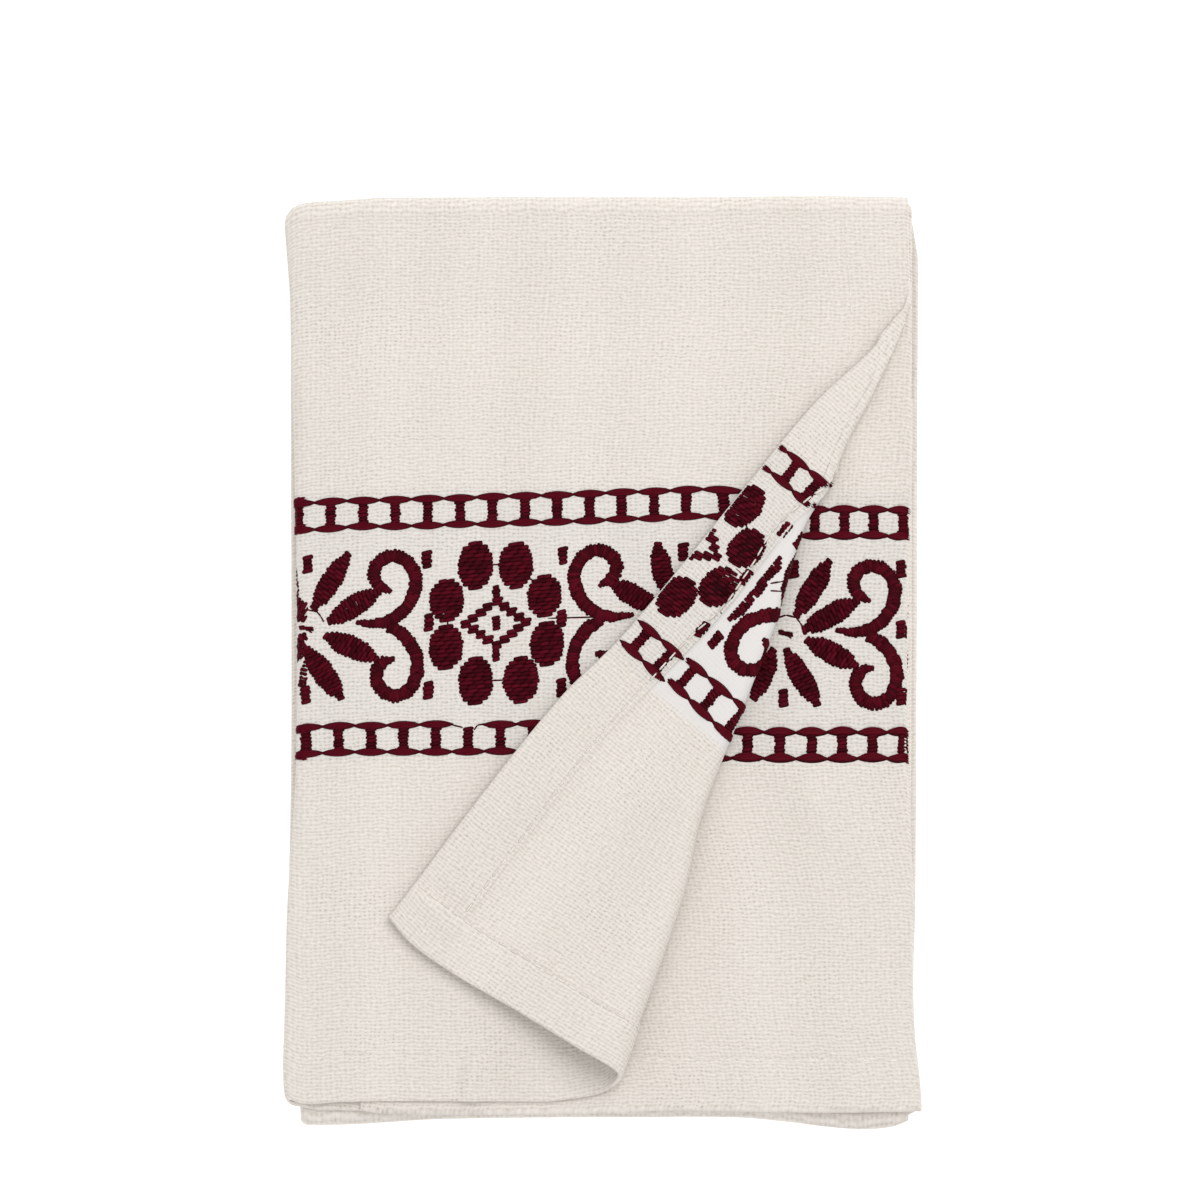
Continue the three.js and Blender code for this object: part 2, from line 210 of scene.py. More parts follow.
# Soft swells and creases of the front panel, listed one by one. The turn is that of its length from +X.
TOP_SWELLS = columns(
    "x y turn length width height",
    [
        (-35, -116, 75, 13, 4, 0.9),  # pucker at the near hem
        (-81, -46, 105, 12, 3, 0.7),  # crease by the left fold
        (18, 40, 5, 30, 9, 0.5),  # drawn cloth over the band
        (8, -36, -8, 34, 8, 0.6),  # drawn cloth under the band
        (-58, 70, 20, 40, 18, 0.5),
        (-20, -86, -15, 36, 15, 0.5),
        (-36, -113, 80, 7, 2.0, 0.9),  # the pucker's ridge, and a trough on each side of it
        (-40, -115, 80, 6, 2.0, -0.5),
        (-32, -115, 80, 6, 2.0, -0.5),
        (-82.5, -46, 101, 9, 1.8, -0.3),
        (43, 77, 0, 20, 1.8, -0.25),
        (-45.4, -67.8, -39, 7.5, 2.2, 0.9),  # lip at the flap's near corner, and the trough beside it
        (-42.8, -64.6, -39, 7.5, 2.0, -0.6),
    ],
)
MIDDLE_SWELLS = columns(
    "x y turn length width height",
    [
        (57, -38, -60, 11, 4, 1.2),  # puckers under the band
        (70, -48, -75, 14, 4, 0.8),
        (72, 52, -80, 14, 5, 0.7),
        (60, -96, 20, 22, 10, 0.7),
        (54, -37, -60, 8, 1.4, -0.4),
        (61, -40, -62, 7, 1.4, -0.3),
    ],
)
SAG = {"depth": 1.1, "start": 74.0, "end": 118.0}


def read(table, by, column, at):
    """The values of a column between the rows of a table, on a smooth curve through them."""
    places, values = table[by], table[column]
    if places[0] > places[-1]:
        places, values = places[::-1], values[::-1]
    last = len(places) - 1
    rows = np.arange(last + 1)
    before, after = np.maximum(rows - 1, 0), np.minimum(rows + 1, last)
    slopes = (values[after] - values[before]) / (places[after] - places[before])
    at = np.clip(at, places[0], places[-1])
    i = np.clip(np.searchsorted(places, at) - 1, 0, last - 1)
    span = places[i + 1] - places[i]
    t = (at - places[i]) / span
    bend = t * t * (3 - 2 * t)
    leave = t * (1 - t) ** 2 * span * slopes[i]
    arrive = t * t * (t - 1) * span * slopes[i + 1]
    return values[i] + (values[i + 1] - values[i]) * bend + leave + arrive


def lerp(a, b, t):
    return a + (b - a) * t


def smoothstep(x, low, high):
    t = np.clip((x - low) / (high - low), 0, 1)
    return t * t * (3 - 2 * t)


def plateau(x, rise, top, drop, end):
    """0 up to rise, 1 from top to drop, and 0 again from end."""
    return smoothstep(x, rise, top) * (1 - smoothstep(x, drop, end))


def swell(table, x, y):
    """Height of the soft swells at a place."""
    turn = np.radians(table["turn"])
    dx = np.subtract.outer(x, table["x"])
    dy = np.subtract.outer(y, table["y"])
    along = dx * np.cos(turn) + dy * np.sin(turn)
    across = dy * np.cos(turn) - dx * np.sin(turn)
    shape = np.exp(-((along / table["length"]) ** 2) - (across / table["width"]) ** 2)
    return (table["height"] * shape).sum(axis=-1)


def sag(y):
    """How far the front panel hangs down between the inner panel's hem and the far fold."""
    middle = (SAG["start"] + SAG["end"]) / 2
    return SAG["depth"] * smoothstep(y, SAG["start"], middle) * (1 - smoothstep(y, middle, SAG["end"]))


TOP_H = 2 * LAYER_PITCH
OUTER_H = TOP_H + SOLID_THICKNESS / 2


def in_front(h):
    """Height over the surface of the packet's place h in the front panel."""
    return SOLID_THICKNESS / 2 + 6 * LAYER_PITCH + h


def in_back(h):
    return SOLID_THICKNESS / 2 + 2 * LAYER_PITCH - h


def in_inner(h):
    return SOLID_THICKNESS / 2 + 3 * LAYER_PITCH + h


def far_end(x):
    """Where the flat stretch of the panels ends at the far fold."""
    return read(FAR_FOLD, "x", "y", x) - FAR_FOLD_FLATNESS - OUTER_H


def near_end(x):
    return read(NEAR_FOLD, "x", "y", x) + NEAR_FOLD_FLATNESS + OUTER_H


def front_hem(x, h):
    """The near hem of the front panel, at a height in the packet."""
    bottom, middle, top = (read(FRONT_HEM, "x", name, x) for name in ("bottom", "middle", "top"))
    level = np.clip(h / LAYER_PITCH, 0, 2)
    return np.where(level < 1, lerp(bottom, middle, level), lerp(middle, top, level - 1))


FRONT_LENGTH = float(far_end(0.0) - front_hem(0.0, TOP_H))


def top_y(x, v):
    """Where the top third's v lies, before the corner is turned back."""
    return lerp(front_hem(x, TOP_H), far_end(x), v / FRONT_LENGTH)


def turned_back(x, y):
    """The top layer with its corner turned back: where the middle of its cloth lies."""
    down_x, down_y = -math.sin(CREASE_TURN), -math.cos(CREASE_TURN)
    out_x, out_y = -down_y, down_x
    along = (x - PIVOT[0]) * down_x + (y - PIVOT[1]) * down_y
    beyond = (x - PIVOT[0]) * out_x + (y - PIVOT[1]) * out_y
    radius = ROLL_RADIUS + ROLL_GROWTH * np.maximum(along, 0)
    quarter = math.pi / 2 * radius
    bow = read(ROLL_BOW, "along", "bow", along)
    pull = bow - (quarter - radius)

    reach = (PIVOT[0] + along * down_x - SIDES["front_left"][0]) / out_x - quarter
    flat_left = -beyond + pull * np.clip(1 + (beyond + quarter) / reach, 0, 1)

    angle = np.clip(beyond / radius, -math.pi / 2, math.pi / 2)
    roll_left = bow + radius - radius * np.cos(angle)
    roll_rise = radius + radius * np.sin(angle)

    width = np.maximum(along, 0) * math.tan(CREASE_TURN)
    flap_width = read(FLAP_EDGE, "along", "left", along) - bow - radius
    wide = width > quarter + LEAST_FLAP
    stretch = np.where(wide, np.clip(flap_width / np.where(wide, width - quarter, 1), *FLAP_STRETCH), 1)
    run = np.maximum(beyond - quarter, 0) * stretch
    fall = run / (ROLL_FALL * radius)
    share = np.clip(beyond / np.maximum(width, 1), 0, 1)
    flap_left = bow + radius + run
    flap_rise = LAYER_PITCH + (2 * radius - LAYER_PITCH) * (1 + fall) * np.exp(-fall)
    flap_rise = flap_rise + read(FLAP_EDGE, "along", "lift", along) * share * share

    flat, rolled = beyond < -quarter, beyond < quarter
    left = np.where(flat, flat_left, np.where(rolled, roll_left, flap_left))
    rise = np.where(flat, 0, np.where(rolled, roll_rise, flap_rise))
    near = smoothstep(along, HEM_ROLLED_FROM * CREASE_LENGTH, CREASE_LENGTH)
    drawn = along + near * read(ROLLED_HEM, "beyond", "drawn", beyond)
    rise = rise + near * near * read(ROLLED_HEM, "beyond", "lift", beyond)

    is_open = smoothstep(along, *ROLL_OPENING)
    turned_x = lerp(x, PIVOT[0] + down_x * drawn - out_x * left, is_open)
    turned_y = lerp(y, PIVOT[1] + down_y * drawn - out_y * left, is_open)
    ground = swell(TOP_SWELLS, turned_x, turned_y) - sag(turned_y)
    return np.stack([turned_x, turned_y, in_front(TOP_H) + ground + is_open * rise], axis=-1)


def on_top_layer(x, y, side):
    """Points of the top layer, at a height over or under the middle of its cloth."""
    small = 0.02
    along_x = turned_back(x + small, y) - turned_back(x - small, y)
    along_y = turned_back(x, y + small) - turned_back(x, y - small)
    normal = np.cross(along_x, along_y)
    normal /= np.linalg.norm(normal, axis=-1, keepdims=True)
    return turned_back(x, y) + normal * np.asarray(side)[..., None]


def in_packet(panel, share, x, h):
    """Points of the packet in one row along the length, at the places x and the heights h."""
    far, near = far_end(x), near_end(x)
    if panel == "front":
        y = lerp(front_hem(x, h), far, share)
        lifted = swell(MIDDLE_SWELLS, x, y) * np.clip(h / LAYER_PITCH, 0, 1) - sag(y)
        z = in_front(h) + lifted
    elif panel == "far_turn":
        middle = (in_front(h) + in_back(h)) / 2
        y = far + (FAR_FOLD_FLATNESS + h) * math.sin(math.pi * share)
        z = middle + (in_front(h) - middle) * math.cos(math.pi * share)
    elif panel == "back":
        y = lerp(far, near, share)
        z = in_back(h)
    elif panel == "near_turn":
        middle = (in_inner(h) + in_back(h)) / 2
        y = near - (NEAR_FOLD_FLATNESS + h) * math.sin(math.pi * share)
        z = middle + (in_back(h) - middle) * math.cos(math.pi * share)
    else:
        y = lerp(near, INNER_HEM_Y, share)
        z = in_inner(h)
    return np.stack([x, y + 0 * z, z + 0 * y], axis=-1)


def side_folds(panel, y):
    """Where the flat stretch of the section starts and ends at a row, by the left and the right fold."""
    part = "front" if panel in ("front", "far_turn") else "back"
    inset = INNER_INSET if panel == "inner" else 0
    left = read(SIDES, "y", part + "_left", y) + inset
    right = read(SIDES, "y", part + "_right", y) - inset
    fold_half = SOLID_THICKNESS / 2
    return left + LAYER_PITCH + fold_half, right - LAYER_PITCH / 2 - fold_half


def top_hem(v):
    return read(TOP_HEM, "v", "width", v)


# Steps of the cloth's net, in millimetres or as counts
HEM_STEPS = (0, 0.12, 0.3, 0.55, 1.4, 3.5, 6, 8.5, 11)
SEAM_STEPS = (-1.9, -1.5, -1.1, -0.7, -0.35, 0, 0.2, 0.6, 1.3)  # from a hem's inner edge
FRONT_STEP = 2.4
BACK_STEPS = 24
INNER_STEPS = 16
FOLD_STEPS = 10
TURN_STEPS = 12
ROLL_STEPS = np.concatenate([[2.6, 2.2, 1.9], np.linspace(1.57, -1.57, 15), [-1.9, -2.3, -2.8, -3.5]])
FLAP_STEPS = 26
FLAT_STEPS = 66
BOTTOM_STEPS = 24
MIDDLE_STEPS = 48
LEAST_STEP = 0.12


def hem_distances(hem):
    return [*HEM_STEPS, *[hem + d for d in SEAM_STEPS]]


def length_rows():
    """The rows along the length, as (panel, share, y, v, distance from an end hem)."""
    rows = []
    hem = hem_distances(END_HEM)
    plain = np.arange(hem[-1] + FRONT_STEP, FRONT_LENGTH, FRONT_STEP)
    hem_y = float(front_hem(0.0, TOP_H))
    for v in [*hem, *plain]:
        rows.append(("front", v / FRONT_LENGTH, hem_y + v, v, v))
    far, near = float(far_end(0.0)), float(near_end(0.0))
    far_arc = math.pi * (in_front(0) - in_back(0)) / 2
    near_arc = math.pi * LAYER_PITCH
    v = FRONT_LENGTH
    for i in range(TURN_STEPS + 1):
        share = i / TURN_STEPS
        rows.append(("far_turn", share, far, v + far_arc * share, math.inf))
    v += far_arc
    for i in range(1, BACK_STEPS):
        share = i / BACK_STEPS
        rows.append(("back", share, lerp(far, near, share), v + (far - near) * share, math.inf))
    v += far - near
    for i in range(TURN_STEPS + 1):
        share = i / TURN_STEPS
        rows.append(("near_turn", share, near, v + near_arc * share, math.inf))
    v += near_arc
    length = INNER_HEM_Y - near
    first, last = 8, length - END_HEM - 8
    for d in [*np.linspace(first, last, INNER_STEPS), *[length - d for d in reversed(hem)]]:
        rows.append(("inner", d / length, near + d, v + d, length - d))
    return rows


def top_third_places(panel, y, v, fold_start):
    """The top third's places at a row, from its free edge to its left fold. They follow hem and roll."""
    edge = TOP_THIRD_EDGE
    along = max((PIVOT[1] - y) / math.cos(CREASE_TURN), 0) if panel == "front" else 0
    crease = edge - along * math.sin(CREASE_TURN)
    radius = ROLL_RADIUS + ROLL_GROWTH * along
    hem = [edge - d for d in hem_distances(float(top_hem(v)))]
    roll = crease + ROLL_STEPS * radius / math.cos(CREASE_TURN)
    between = np.linspace(hem[-1], roll[0], FLAP_STEPS + 1)[1:-1]
    flat_end = min(roll[-1], hem[-1])
    flat = np.linspace(flat_end, fold_start, FLAT_STEPS + 1)[1:-1]
    places = np.sort(np.concatenate([hem, between, np.minimum(roll, edge), flat]))[::-1]
    places[0] = edge
    for i in range(1, len(places)):
        places[i] = min(places[i], places[i - 1] - LEAST_STEP)
    return np.append(places, fold_start)


def section(panel, y, v):
    """The packet's section at a row.

    Edge is a place's distance from a free side hem, and hem is that hem's width.
    """
    left_start, right_start = (float(x) for x in side_folds(panel, y))
    left_radius, right_radius = LAYER_PITCH, LAYER_PITCH / 2
    edge, top_width = TOP_THIRD_EDGE, float(top_hem(v))
    rows = []
    for x in top_third_places(panel, y, v, left_start):
        rows.append((0, x, TOP_H, 0, 1, edge - x, edge - x, top_width))
    u = edge - left_start
    for i in range(1, FOLD_STEPS):
        turn = math.pi * i / FOLD_STEPS
        side_x, side_h = -math.sin(turn), math.cos(turn)
        x, h = left_start + left_radius * side_x, TOP_H / 2 + left_radius * side_h
        rows.append((1, x, h, side_x, side_h, u + left_radius * turn, math.inf, SIDE_HEM))
    u += math.pi * left_radius
    for x in np.linspace(left_start, right_start, BOTTOM_STEPS + 1):
        rows.append((2, x, 0, 0, -1, u + x - left_start, math.inf, SIDE_HEM))
    u += right_start - left_start
    for i in range(1, FOLD_STEPS):
        turn = math.pi * i / FOLD_STEPS
        side_x, side_h = math.sin(turn), -math.cos(turn)
        x, h = right_start + right_radius * side_x, right_radius + right_radius * side_h
        rows.append((3, x, h, side_x, side_h, u + right_radius * turn, math.inf, SIDE_HEM))
    u += math.pi * right_radius
    hem = [MIDDLE_THIRD_EDGE + d for d in reversed(hem_distances(SIDE_HEM))]
    plain = np.linspace(right_start, hem[0], MIDDLE_STEPS + 1)[:-1]
    for x in [*plain, *hem]:
        rows.append((4, x, LAYER_PITCH, 0, 1, u + right_start - x, x - MIDDLE_THIRD_EDGE, SIDE_HEM))
    return columns("third x h side_x side_h u edge hem", rows)


def half_thickness(from_side, from_end, side, side_hem):
    """Half the cloth's thickness on its right side (side 1) or wrong side (-1), with hems and seams."""
    past_end_hem = smoothstep(from_end, END_HEM - LAP_SLOPE, END_HEM + LAP_SLOPE)
    in_side_hem = 1 - smoothstep(from_side, side_hem + HEM_SLOPE[0], side_hem + HEM_SLOPE[1])
    in_end_hem = 1 - smoothstep(from_end, END_HEM + HEM_SLOPE[0], END_HEM + HEM_SLOPE[1])
    turned_in = in_side_hem * lerp(LAPPED_HEM, 1, past_end_hem) + in_end_hem
    behind_band = plateau(from_end, *BEHIND_BAND)
    side_seam = np.exp(-(((from_side - side_hem + SEAM_INSET) / SEAM_WIDTH) ** 2))
    side_seam = side_seam * past_end_hem * (1 - behind_band)
    end_seam = np.exp(-(((from_end - END_HEM + SEAM_INSET) / SEAM_WIDTH) ** 2))
    if side > 0:
        half = THICKNESS / 2 + HEM_RAISED * turned_in - SEAM_DEPTH_RIGHT * (side_seam + end_seam)
    else:
        half = THICKNESS / 2 + HEM_FOLDED * turned_in - SEAM_DEPTH_WRONG * (side_seam + end_seam)
        ridge = np.exp(-(((from_side - side_hem + RIDGE_INSET) / RIDGE_WIDTH) ** 2))
        half = half + HEM_RIDGE * ridge * behind_band
    from_edge = np.clip(np.minimum(from_side, from_end) / EDGE_ROUNDING, 0, 1)
    return half * np.sqrt(0.06 + 0.94 * (1 - (1 - from_edge) ** 2))


def cloth_points(row, places, side):
    """The points of a row of the net on one side of the cloth."""
    panel, share, _, _, from_end = row
    half = half_thickness(places["edge"], np.full(len(places["x"]), from_end), side, places["hem"])
    if side > 0 and panel in ("back", "near_turn", "far_turn"):
        half = np.where(places["third"] < 1, SOLID_THICKNESS / 2, half)
    offset = side * half
    x = places["x"] + offset * places["side_x"]
    h = places["h"] + offset * places["side_h"]
    points = in_packet(panel, share, x, h)
    if panel == "front":
        top = places["third"] == 0
        flat_x = places["x"][top]
        flat_y = lerp(front_hem(flat_x, TOP_H), far_end(flat_x), share)
        points[top] = on_top_layer(flat_x, flat_y, offset[top])
    return points


def mesh_object(name, vertices, faces, material):
    mesh = bpy.data.meshes.new(name)
    mesh.from_pydata([tuple(v) for v in vertices], [], faces)
    mesh.materials.append(material)
    mesh.polygons.foreach_set("use_smooth", [True] * len(mesh.polygons))
    mesh.update()
    made = bpy.data.objects.new(name, mesh)
    bpy.context.scene.collection.objects.link(made)
    return made


def cloth_object(name, material):
    """The towel's cloth as one closed sheet, with its own coordinates as a UV map, in metres."""
    rows = length_rows()
    sections = [section(row[0], row[2], row[3]) for row in rows]
    wide = len(sections[0]["x"])
    points, coordinates, backing, banded = [], [], [], []
    for side in (1, -1):
        for row, places in zip(rows, sections):
            points.append(cloth_points(row, places, side))
            v = np.full(wide, row[3])
            coordinates.append(np.stack([places["u"], v], axis=-1))
            in_band = plateau(v, BAND_START - BAND_BLUR, BAND_START, BAND_END, BAND_END + BAND_BLUR)
            reverse = (side < 0) * (places["edge"] > places["hem"] + 0.1)
            backing.append(in_band * reverse)
            banded.append(in_band * (1 - reverse))
    points, coordinates = np.concatenate(points) * MM, np.concatenate(coordinates) * MM

    def right(j, i):
        return j * wide + i

    def wrong(j, i):
        return (len(rows) + j) * wide + i

    faces = []
    last_j, last_i = len(rows) - 1, wide - 1
    for j in range(last_j):
        for i in range(last_i):
            faces.append((right(j, i), right(j + 1, i), right(j + 1, i + 1), right(j, i + 1)))
            faces.append((wrong(j, i), wrong(j, i + 1), wrong(j + 1, i + 1), wrong(j + 1, i)))
    for i in range(last_i):
        faces.append((right(0, i), right(0, i + 1), wrong(0, i + 1), wrong(0, i)))
        faces.append((right(last_j, i + 1), right(last_j, i), wrong(last_j, i), wrong(last_j, i + 1)))
    for j in range(last_j):
        faces.append((right(j + 1, 0), right(j, 0), wrong(j, 0), wrong(j + 1, 0)))
        faces.append((right(j, last_i), right(j + 1, last_i), wrong(j + 1, last_i), wrong(j, last_i)))
    made = mesh_object(name, points, faces, material)
    layer = made.data.uv_layers.new(name="cloth")
    corners = np.array([loop.vertex_index for loop in made.data.loops])
    layer.data.foreach_set("uv", coordinates[corners].ravel())
    for title, values in (("backing", backing), ("banded", banded)):
        attribute = made.data.attributes.new(title, "FLOAT", "POINT")
        attribute.data.foreach_set("value", np.concatenate(values))
    return made


# The embroidered band, a traditional border of flowers, scrolls and wreaths between two ladders. Its
# places are a, to the right of a motif's middle, and b, above the band's middle, on the right side.
BAND_MIDDLE = 130.6
BAND_START = 94.5
BAND_END = 167.5
BAND_BLUR = 1.5
REPEAT = 103.0
FLOWERS = (-48.9, 54.1, 157.1)  # their u on the top third
ROW_PITCH = 1.07  # from one stitch hole to the next
SCROLL_PITCH = 0.86
LADDERS = (30.8, -31.1)  # their b, the upper one first
RAIL_FROM_LADDER = 3.65
RAIL_LAP = 0.45
BAR_WIDTH = 2.9
BAR_HEIGHT = 5.9
THREAD_FULLNESS = 1.12  # a thread's width over the spacing of the rows
SCROLL_FULLNESS = 1.45  # the same on a curve, whose outer side is longer
THREAD_HEIGHT = 0.42
THREAD_TONES = (0.2, 0.8)  # a tone runs from 0, the darkest, to 1
THIN_THREAD = (0.45, 0.25)  # width and height
RAIL_SIZE = (2.3, 0.55)  # the same of a rail's lens, and of the strands on it
STRAND_SIZE = (0.75, 0.72)
# Rails and their strands take lighter tones: painted sheen of their long satin stitches
RAIL_SHEEN_TONES = (0.6, 0.8)
STRAND_SHEEN_TONES = (0.75, 1.0)
STRANDS_BESIDE = (-0.6, 0.0, 0.6)  # a strand's distance from the rail's middle
STRAND_INSET = 0.9
UNDERLAY = {"fullness": 1.15, "height": 0.12, "inset": 0.6, "share": 0.94}
LONGEST_STITCH = 2.7
SHORTEST_STITCH = 0.4
STITCH_LAP = 0.2
STITCH_LEAN = 0.16
ROW_SLANT = 0.25  # at each end of a row, in rows
RAGGED = 0.22

OVALS = columns(
    "a b width height",
    [
        (-5.4, 15.7, 9.8, 13.2),
        (5.8, 15.4, 9.7, 12.8),
        (-13.3, 6.3, 9.8, 11.7),
        (13.6, 6.8, 9.7, 11.6),
        (-13.5, -6.5, 9.7, 12.2),
        (14.3, -6.3, 9.7, 12.0),
        (-5.3, -15.8, 9.8, 12.8),
        (7.1, -15.8, 10.0, 12.4),
    ],
)
# A flower's leaves from tip to tip, on the top third and on the middle third
LEAVES = columns(
    "a0 b0 a1 b1 width",
    [
        (1.4, 4.9, 11.4, 20.1, 6.0),
        (5.5, 1.2, 20.0, 9.6, 6.2),
        (4.6, -2.1, 19.3, -9.6, 6.2),
        (-0.6, -5.2, 9.4, -20.3, 6.2),
        (-4.3, 5.8, -6.8, 20.5, 5.8),
        (-6.6, 2.0, -19.7, 9.9, 6.2),
        (-6.4, -2.4, -16.0, -8.0, 6.2),
        (-6.0, -5.6, -10.0, -18.5, 5.8),
    ],
)
MIDDLE_LEAVES = columns(
    "a0 b0 a1 b1 width",
    [
        (2.3, 4.6, 11.9, 20.5, 6.0),
        (4.2, 0.7, 19.9, 9.5, 6.2),
        (5.1, -1.5, 19.4, -9.2, 6.2),
        (-0.4, -4.2, 8.4, -20.2, 6.0),
        (-3.5, -4.2, -9.5, -18.5, 6.0),
    ],
)
UPPER_SCROLL = columns(
    "a b half_width",
    [
        (22.9, 9.0, 0.5),
        (20.0, 10.5, 1.7),
        (18.3, 12.5, 1.9),
        (18.3, 15.3, 1.9),
        (20.2, 17.9, 1.9),
        (23.9, 18.9, 1.9),
        (27.5, 17.1, 1.9),
        (29.6, 13.2, 1.9),
        (29.2, 8.5, 1.9),
        (26.8, 4.2, 1.9),
        (22.9, 1.3, 1.8),
        (18.2, 0.4, 1.4),
        (13.4, 0.9, 0.5),
    ],
)
LOWER_SCROLL = columns(
    "a b half_width",
    [
        (23.8, -9.4, 0.5),
        (20.6, -10.3, 1.7),
        (19.0, -12.5, 1.9),
        (19.0, -15.3, 1.9),
        (20.6, -18.1, 1.9),
        (24.3, -19.5, 1.9),
        (28.1, -17.7, 1.9),
        (30.0, -13.5, 1.9),
        (29.9, -8.8, 1.9),
        (28.0, -5.0, 1.9),
        (25.2, -2.0, 1.9),
        (22.1, -0.7, 1.4),
    ],
)
FLOWER_RIM = [(-4.9, 2.4), (-3.2, 4.1), (-0.3, 5.1), (2.5, 4.4), (3.6, 3.0), (4.4, 1.4)]
FLOWER_DASH = {"start": [(-2.5, 0.5), (-2.4, -0.1)], "end": [(1.6, 0.1), (1.7, -0.5)]}
FLOWER_TAIL = (0.0, -0.5, 1.2, -1.4)
DOT_SIZE = (2.8, 4.8)
DOTS_BY_FLOWER = [(0.0, 17.6), (-0.6, -18.4)]
MIDDLE_DOTS_BY_FLOWER = [(1.8, 17.8), (-1.0, -18.0)]
DOTS_BETWEEN = [(32.7, 17.7), (33.2, 0.4), (33.2, -18.1)]
MIDDLE_DOTS_BETWEEN = [(31.3, 18.0), (31.4, 1.2), (31.4, -17.4)]
TOP_MOTIF = (LEAVES, DOTS_BY_FLOWER, DOTS_BETWEEN)
MIDDLE_MOTIF = (MIDDLE_LEAVES, MIDDLE_DOTS_BY_FLOWER, MIDDLE_DOTS_BETWEEN)
DIAMOND = {"a": 0.3, "b": -0.3, "half_width": 8.2, "half_height": 6.0, "blocks": 5}
DIAMOND_BLOCK = (3.0, 2.2)
DIAMOND_BAR = (2.1, 4.4)
DIAMOND_HEART = (2.4, 3.9)
# Thin threads from one motif of a wreath to the next
WREATH_TIES = [
    (-1.5, 15.8, 1.5, 15.8),
    (-13.0, 0.6, -13.0, -0.6),
    (-2.0, -15.8, 2.4, -15.8),
    (10.5, 11.2, 7.6, 12.4),
    (14.5, 0.6, 32.0, 0.5),
]

rng = np.random.default_rng(7)
stitches = []
underlay = []
rails = []


def stitch(a0, b0, a1, b1, width, height):
    """One thread from hole to hole."""
    stitches.append((a0, b0, a1, b1, width, height, rng.uniform(*THREAD_TONES)))


def satin(start, end, fullness=THREAD_FULLNESS):
    """Rows of threads between the two edges of a shape, given hole by hole, in short lapping pieces."""
    start, end = np.array(start, float), np.array(end, float)
    middles, last = (start + end) / 2, len(start) - 1
    for k in range(last + 1):
        before, after = max(k - 1, 0), min(k + 1, last)
        step = (middles[after] - middles[before]) / max(after - before, 1)
        spacing = np.linalg.norm(step) if last > 0 else ROW_PITCH
        one, other = start[k] - step * ROW_SLANT, end[k] + step * ROW_SLANT
        length = np.linalg.norm(other - one)
        if length < SHORTEST_STITCH:
            continue
        across = np.array([-(other - one)[1], (other - one)[0]]) / length
        inset = min(UNDERLAY["inset"] / length, 0.4)
        below = (*lerp(one, other, inset), *lerp(one, other, 1 - inset))
        # The underlay takes the darkest tone: painted shade for the pits between the threads over it
        if rng.uniform() < UNDERLAY["share"]:
            underlay.append((*below, spacing * UNDERLAY["fullness"], UNDERLAY["height"], 0.0))
        pieces = max(1, round(length / LONGEST_STITCH))
        cuts = np.linspace(0, 1, pieces + 1)
        cuts[1:-1] += (k % 3 - 1) * 0.3 / pieces
        lap = STITCH_LAP / length
        for c0, c1 in zip(cuts[:-1], cuts[1:]):
            lean = STITCH_LEAN * rng.uniform(0.7, 1.3)
            p = lerp(one, other, max(c0 - lap, 0)) - across * lean * (c0 > 0)
            q = lerp(one, other, min(c1 + lap, 1)) + across * lean * (c1 < 1)
            width = spacing * fullness * rng.uniform(0.95, 1.06)
            stitch(*p, *q, width, THREAD_HEIGHT * rng.uniform(0.85, 1.15))


def fill_upright(a, b, width, height, profile):
    """Rows of stitches across an upright shape. profile gives its half width from -1 to 1 of its height."""
    count = max(2, round(height / ROW_PITCH))
    levels = (np.arange(count) + 0.5) / count * 2 - 1
    ragged = rng.uniform(-RAGGED, RAGGED, (2, count))
    start = [(a - profile(t) * width / 2 + ragged[0][i], b + t * height / 2) for i, t in enumerate(levels)]
    end = [(a + profile(t) * width / 2 + ragged[1][i], b + t * height / 2) for i, t in enumerate(levels)]
    satin(start, end)


def oval(t):
    return math.sqrt(max(1 - abs(t) ** 2.3, 0.02))


def block(t):
    return 1.0


def fill_leaf(tip, other_tip, width):
    """A leaf with blunt points at both ends, and stitches across it."""
    tip, other_tip = np.array(tip), np.array(other_tip)
    length = np.linalg.norm(other_tip - tip)
    along = (other_tip - tip) / length
    across = np.array([-along[1], along[0]])
    count = round(length / ROW_PITCH)
    start, end = [], []
    for k in range(count):
        t = (k + 0.5) / count
        half = width / 2 * max(1 - abs(2 * t - 1) ** 3, 0.38)
        middle = tip + along * t * length
        start.append(middle - across * (half + rng.uniform(-RAGGED, RAGGED)))
        end.append(middle + across * (half + rng.uniform(-RAGGED, RAGGED)))
    satin(start, end)


def fill_scroll(table, at, mirror):
    """A stroke of stitches along a curve through a table's points."""
    index = np.arange(len(table["a"]), dtype=float)
    path = {"i": index, **table}
    fine = np.linspace(0, index[-1], 400)
    xs, ys = read(path, "i", "a", fine), read(path, "i", "b", fine)
    run = np.concatenate([[0], np.cumsum(np.hypot(np.diff(xs), np.diff(ys)))])
    count = round(run[-1] / SCROLL_PITCH)
    start, end = [], []
    for k in range(count):
        i = np.interp((k + 0.5) / count * run[-1], run, fine)
        ahead, behind = min(i + 0.15, index[-1]), max(i - 0.15, 0)
        dx = read(path, "i", "a", ahead) - read(path, "i", "a", behind)
        dy = read(path, "i", "b", ahead) - read(path, "i", "b", behind)
        across = np.array([-dy, dx]) / math.hypot(dx, dy)
        middle = np.array([read(path, "i", "a", i), read(path, "i", "b", i)])
        half = read(path, "i", "half_width", i)
        first = middle - across * (half + rng.uniform(-RAGGED, RAGGED))
        second = middle + across * (half + rng.uniform(-RAGGED, RAGGED))
        start.append((at + mirror * first[0], first[1]))
        end.append((at + mirror * second[0], second[1]))
    satin(start, end, SCROLL_FULLNESS)


